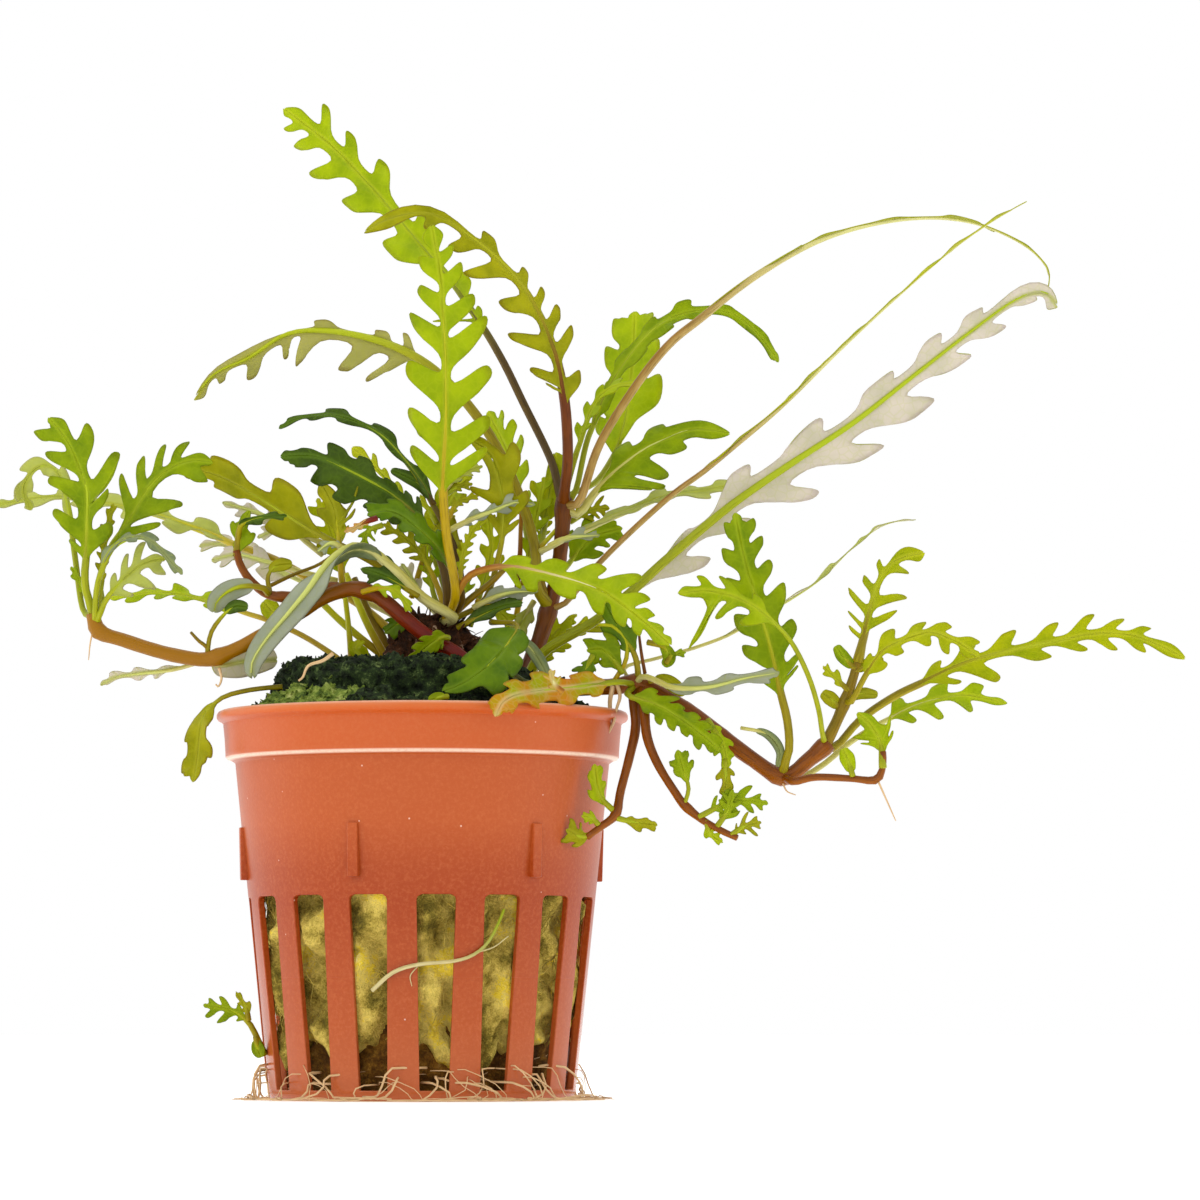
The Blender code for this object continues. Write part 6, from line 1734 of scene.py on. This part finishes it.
@dataclass(frozen=True)
class Roots:
    """Roots inside the pot's foot, on the surface round it, and across its wall."""

    pot: NetPot
    inner_strands: int = 60

    def build_inside(self) -> None:
        """Build the coil of roots, and behind the foot of the slots a dark fill that is painted shade."""
        shape = new_shape()
        dice = Random(31)
        for index in range(self.inner_strands):
            start = dice.uniform(0, math.tau)
            sweep = dice.uniform(0.25, 1.3)
            radius = dice.uniform(15.6, 18.2)
            height = 1.7 + 3.6 * dice.random() ** 2
            rise = dice.uniform(-1.6, 2.4)
            phase = dice.uniform(0, 9)
            points = []
            for step in range(15):
                t = step / 14
                turn = start + sweep * t
                reach = radius + 1.3 * noise.noise(Vector((t * 4, phase, index)))
                reach = min(reach, 18.6)
                level = height + rise * t + 1.2 * noise.noise(Vector((phase, t * 3, index)))
                points.append(around(turn, reach, max(level, 1.6)))
            size = dice.choice((0.07, 0.11, 0.18))
            add_tube(shape, points, [size] * 14 + [size * 0.4], 5)
        # The brown fill is painted shade for the hollow inside the pot's foot
        pour(shape, self.shade_fill())
        keep_piece("root_coil", shape, [ROOT_SKIN.material(), SHADE_FILL.material()],
                   ("root_mass",))

    def shade_fill(self) -> Mesh:
        """Build the dark lumpy fill that the roots lie in, painted shade for the shaded hollow inside the
        pot's foot.
        """
        lump = new_shape()
        bmesh.ops.create_icosphere(lump, subdivisions=5, radius=1.0)
        for vertex in lump.verts:
            flat = Vector((vertex.co.x, vertex.co.y, 0))
            reach = 18.2 * min(flat.length * 1.7, 1.0) / max(flat.length, 0.01)
            vertex.co = flat * reach + Vector((0, 0, 5.2 + vertex.co.z * 6.4))
            vertex.co += vertex.co.normalized() * noise.noise(vertex.co / 1.8) * 1.1
            vertex.co.z = max(vertex.co.z, 1.3)
            vertex.co *= MM
        for face in lump.faces:
            face.material_index = 1
            face.smooth = True
        return to_mesh(lump, "shade_fill")

    def build_floor(self) -> None:
        """Build the roots that leave the lowest openings and lie round the foot."""
        names = {"floor_root_front": (-34, 40), "floor_root_left": (-160, -36),
                 "floor_root_right": (42, 170)}
        dice = Random(47)
        for name, (low, high) in names.items():
            shape = new_shape()
            for _ in range(24 if name.endswith("front") else 20):
                turn = math.radians(dice.uniform(low, high))
                height = dice.uniform(1.8, 4.6)
                wall = self.pot.wall_radius(height)
                reach = dice.uniform(1.4, 5.0)
                drift = dice.uniform(-1.1, 1.1)
                size = dice.choice((0.07, 0.11, 0.17))
                phase = dice.uniform(0, 9)
                points = []
                for step in range(22):
                    t = step / 21
                    out = wall - 1.5 + (2.3 + reach * t) * min(t * 6, 1.0)
                    level = height * (1 - smooth(0.12, 0.34, t)) + size + 0.06
                    level += max(0.0, noise.noise(Vector((t * 5, phase, 2)))) * 1.6 * (1 - t)
                    bearing = turn + drift * t + 0.16 * noise.noise(Vector((phase, t * 6, 1)))
                    out += 0.9 * noise.noise(Vector((t * 5, 3, phase)))
                    if t > 0.1:
                        out = max(out, self.pot.wall_radius(level) + size + 0.05)
                    points.append(around(bearing, out, level))
                add_tube(shape, points, [size * (1 - 0.55 * s / 21) for s in range(22)], 6)
            keep_piece(f"{name}_strands", shape, [ROOT_SKIN.material()], (name,))

    def build_front(self) -> None:
        """Build the root that crosses the front of the wall, with its fork and hair roots."""
        shape = new_shape()
        row = (-6, 15, -3.2, 17.4, 0.2, 18.5, 5.2, 19, 7.8, 19.9, 9.7, 21.6, 11, 24, 11.8, 26)
        self.add_wall_root(shape, row, 0.3, 0.2)
        self.add_wall_root(shape, (8.2, 20.2, 10.4, 20.9, 12.4, 22.4), 0.13, 0.06)
        self.add_wall_root(shape, (0.2, 18.3, -0.8, 17, -0.6, 15.6), 0.09, 0.05)
        mark_share(shape, set(shape.faces), 8.0, 30.0)
        keep_piece("front_root_strand", shape, [GREEN_ROOT.material()], ("front_root",))

    def add_wall_root(self, shape: BMesh, row: tuple[float, ...], start: float,
                      end: float) -> None:
        """Add a root that lies on the front of the wall.

        Args:
            shape: Mesh that takes it.
            row: Sideways place and height of its points in turn.
            start: Radius at its start.
            end: Radius at its end.
        """
        points = []
        for x, z in pairs(row):
            radius = self.pot.wall_radius(z) + start + 0.1
            points.append(Vector((x, -math.sqrt(radius ** 2 - x ** 2), z)))
        route = Route(points, 24)
        add_tube(shape, route.points, [blend((start, end), s / 24) for s in range(25)], 8)

    def build_air(self) -> None:
        """Build the small roots that hang from the runners' nodes and lie on the moss."""
        shape = new_shape()
        rows = (
            ((26.6, 57.6, 26.2, 55.6, 26.3, 54, 26.8, 53, 25.3, 49.8), -9.0, 0.36),
            ((27.2, 57.8, 27.6, 56.2, 27.1, 54.4, 26.6, 52.2), -9.4, 0.3),
            ((-46.3, 65, -46.6, 63.4, -46.8, 61.3), -8.6, 0.14),
            ((-28.5, 60.2, -28.2, 58.7, -28.6, 57.6, -29, 57.9), -7.4, 0.24),
            ((63.8, 44.2, 65, 41.5, 66.2, 38.8), -13.0, 0.16),
            ((-12.6, 62.2, -14, 61.2, -16, 60.5, -16.8, 58.9, -17.4, 58.4), -20.6, 0.3),
            ((50.4, 44, 51, 42.9, 52.2, 42.4), -9.5, 0.14),
        )
        for points, depth, size in rows:
            route = seen_route(points, (depth,))
            add_tube(shape, route.points[::6], [size * (1 - 0.5 * k / 15) for k in range(16)], 6)
        keep_piece("air_roots", shape, [ROOT_SKIN.material()])


@dataclass(frozen=True)
class Studio:
    """Pale floor, white surroundings, soft lamps and the camera."""

    floor_size: float = 6.0
    lit: Place = (0.02, 0, 0.06)

    def build(self) -> None:
        """Build the floor, the light and the camera."""
        shape = bmesh.new()
        bmesh.ops.create_grid(shape, x_segments=1, y_segments=1, size=self.floor_size)
        floor = add_object("studio_floor", to_mesh(shape, "studio_floor"))
        made, add, shader = start_material("white_acrylic_sheet")
        tone = add("ValToRGB", {"Fac": add("TexNoise", Scale=3.0)},
                   stops=((0.3, "FAFAF8"), (0.7, "FDFDFC")))
        set_node(shader, {"Base Color": tone}, Roughness=0.55, Emission_Color=(1, 1, 1, 1),
                 Emission_Strength=0.3)
        floor.data.materials.append(made)
        world = bpy.data.worlds.new("white_surroundings")
        world.use_nodes = True
        set_node(world.node_tree.nodes["Background"], Color=(1, 1, 1, 1), Strength=1.0)
        bpy.context.scene.world = world
        bpy.context.scene.view_settings.view_transform = "Standard"
        lamps = (("key", (-0.5, -0.7, 0.6), 0.5, 2.0), ("left", (-0.7, 0.1, 0.25), 0.4, 0.9),
                 ("right", (0.75, -0.1, 0.3), 0.4, 0.9), ("top", (0.0, 0.3, 0.9), 0.6, 1.6))
        for name, place, size, power in lamps:
            lamp = bpy.data.lights.new(name, "AREA")
            lamp.energy = power
            lamp.size = size
            holder = add_object(name, lamp)
            holder.location = place
            towards = Vector(self.lit) - Vector(place)
            holder.rotation_euler = towards.to_track_quat("-Z", "Y").to_euler()
        lens = bpy.data.cameras.new("photo_camera")
        lens.sensor_width = SENSOR
        lens.lens = SENSOR * AHEAD.length / VIEW_ACROSS
        lens.clip_start = 0.01
        camera = add_object("photo_camera", lens)
        camera.location = EYE * MM
        camera.rotation_euler = AHEAD.to_track_quat("-Z", "Y").to_euler()
        bpy.context.scene.camera = camera


def main() -> None:
    """Build every piece in order and note the sizes."""
    logging.basicConfig(level=logging.INFO, format="%(message)s")
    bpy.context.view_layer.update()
    Studio().build()
    pot = NetPot()
    pot.build()
    filling = Filling(pot)
    filling.build_wool()
    filling.build_moss()
    filling.build_crown()
    roots = Roots(pot)
    roots.build_inside()
    roots.build_floor()
    roots.build_front()
    roots.build_air()
    Foliage().build()


if __name__ == "__main__":
    main()
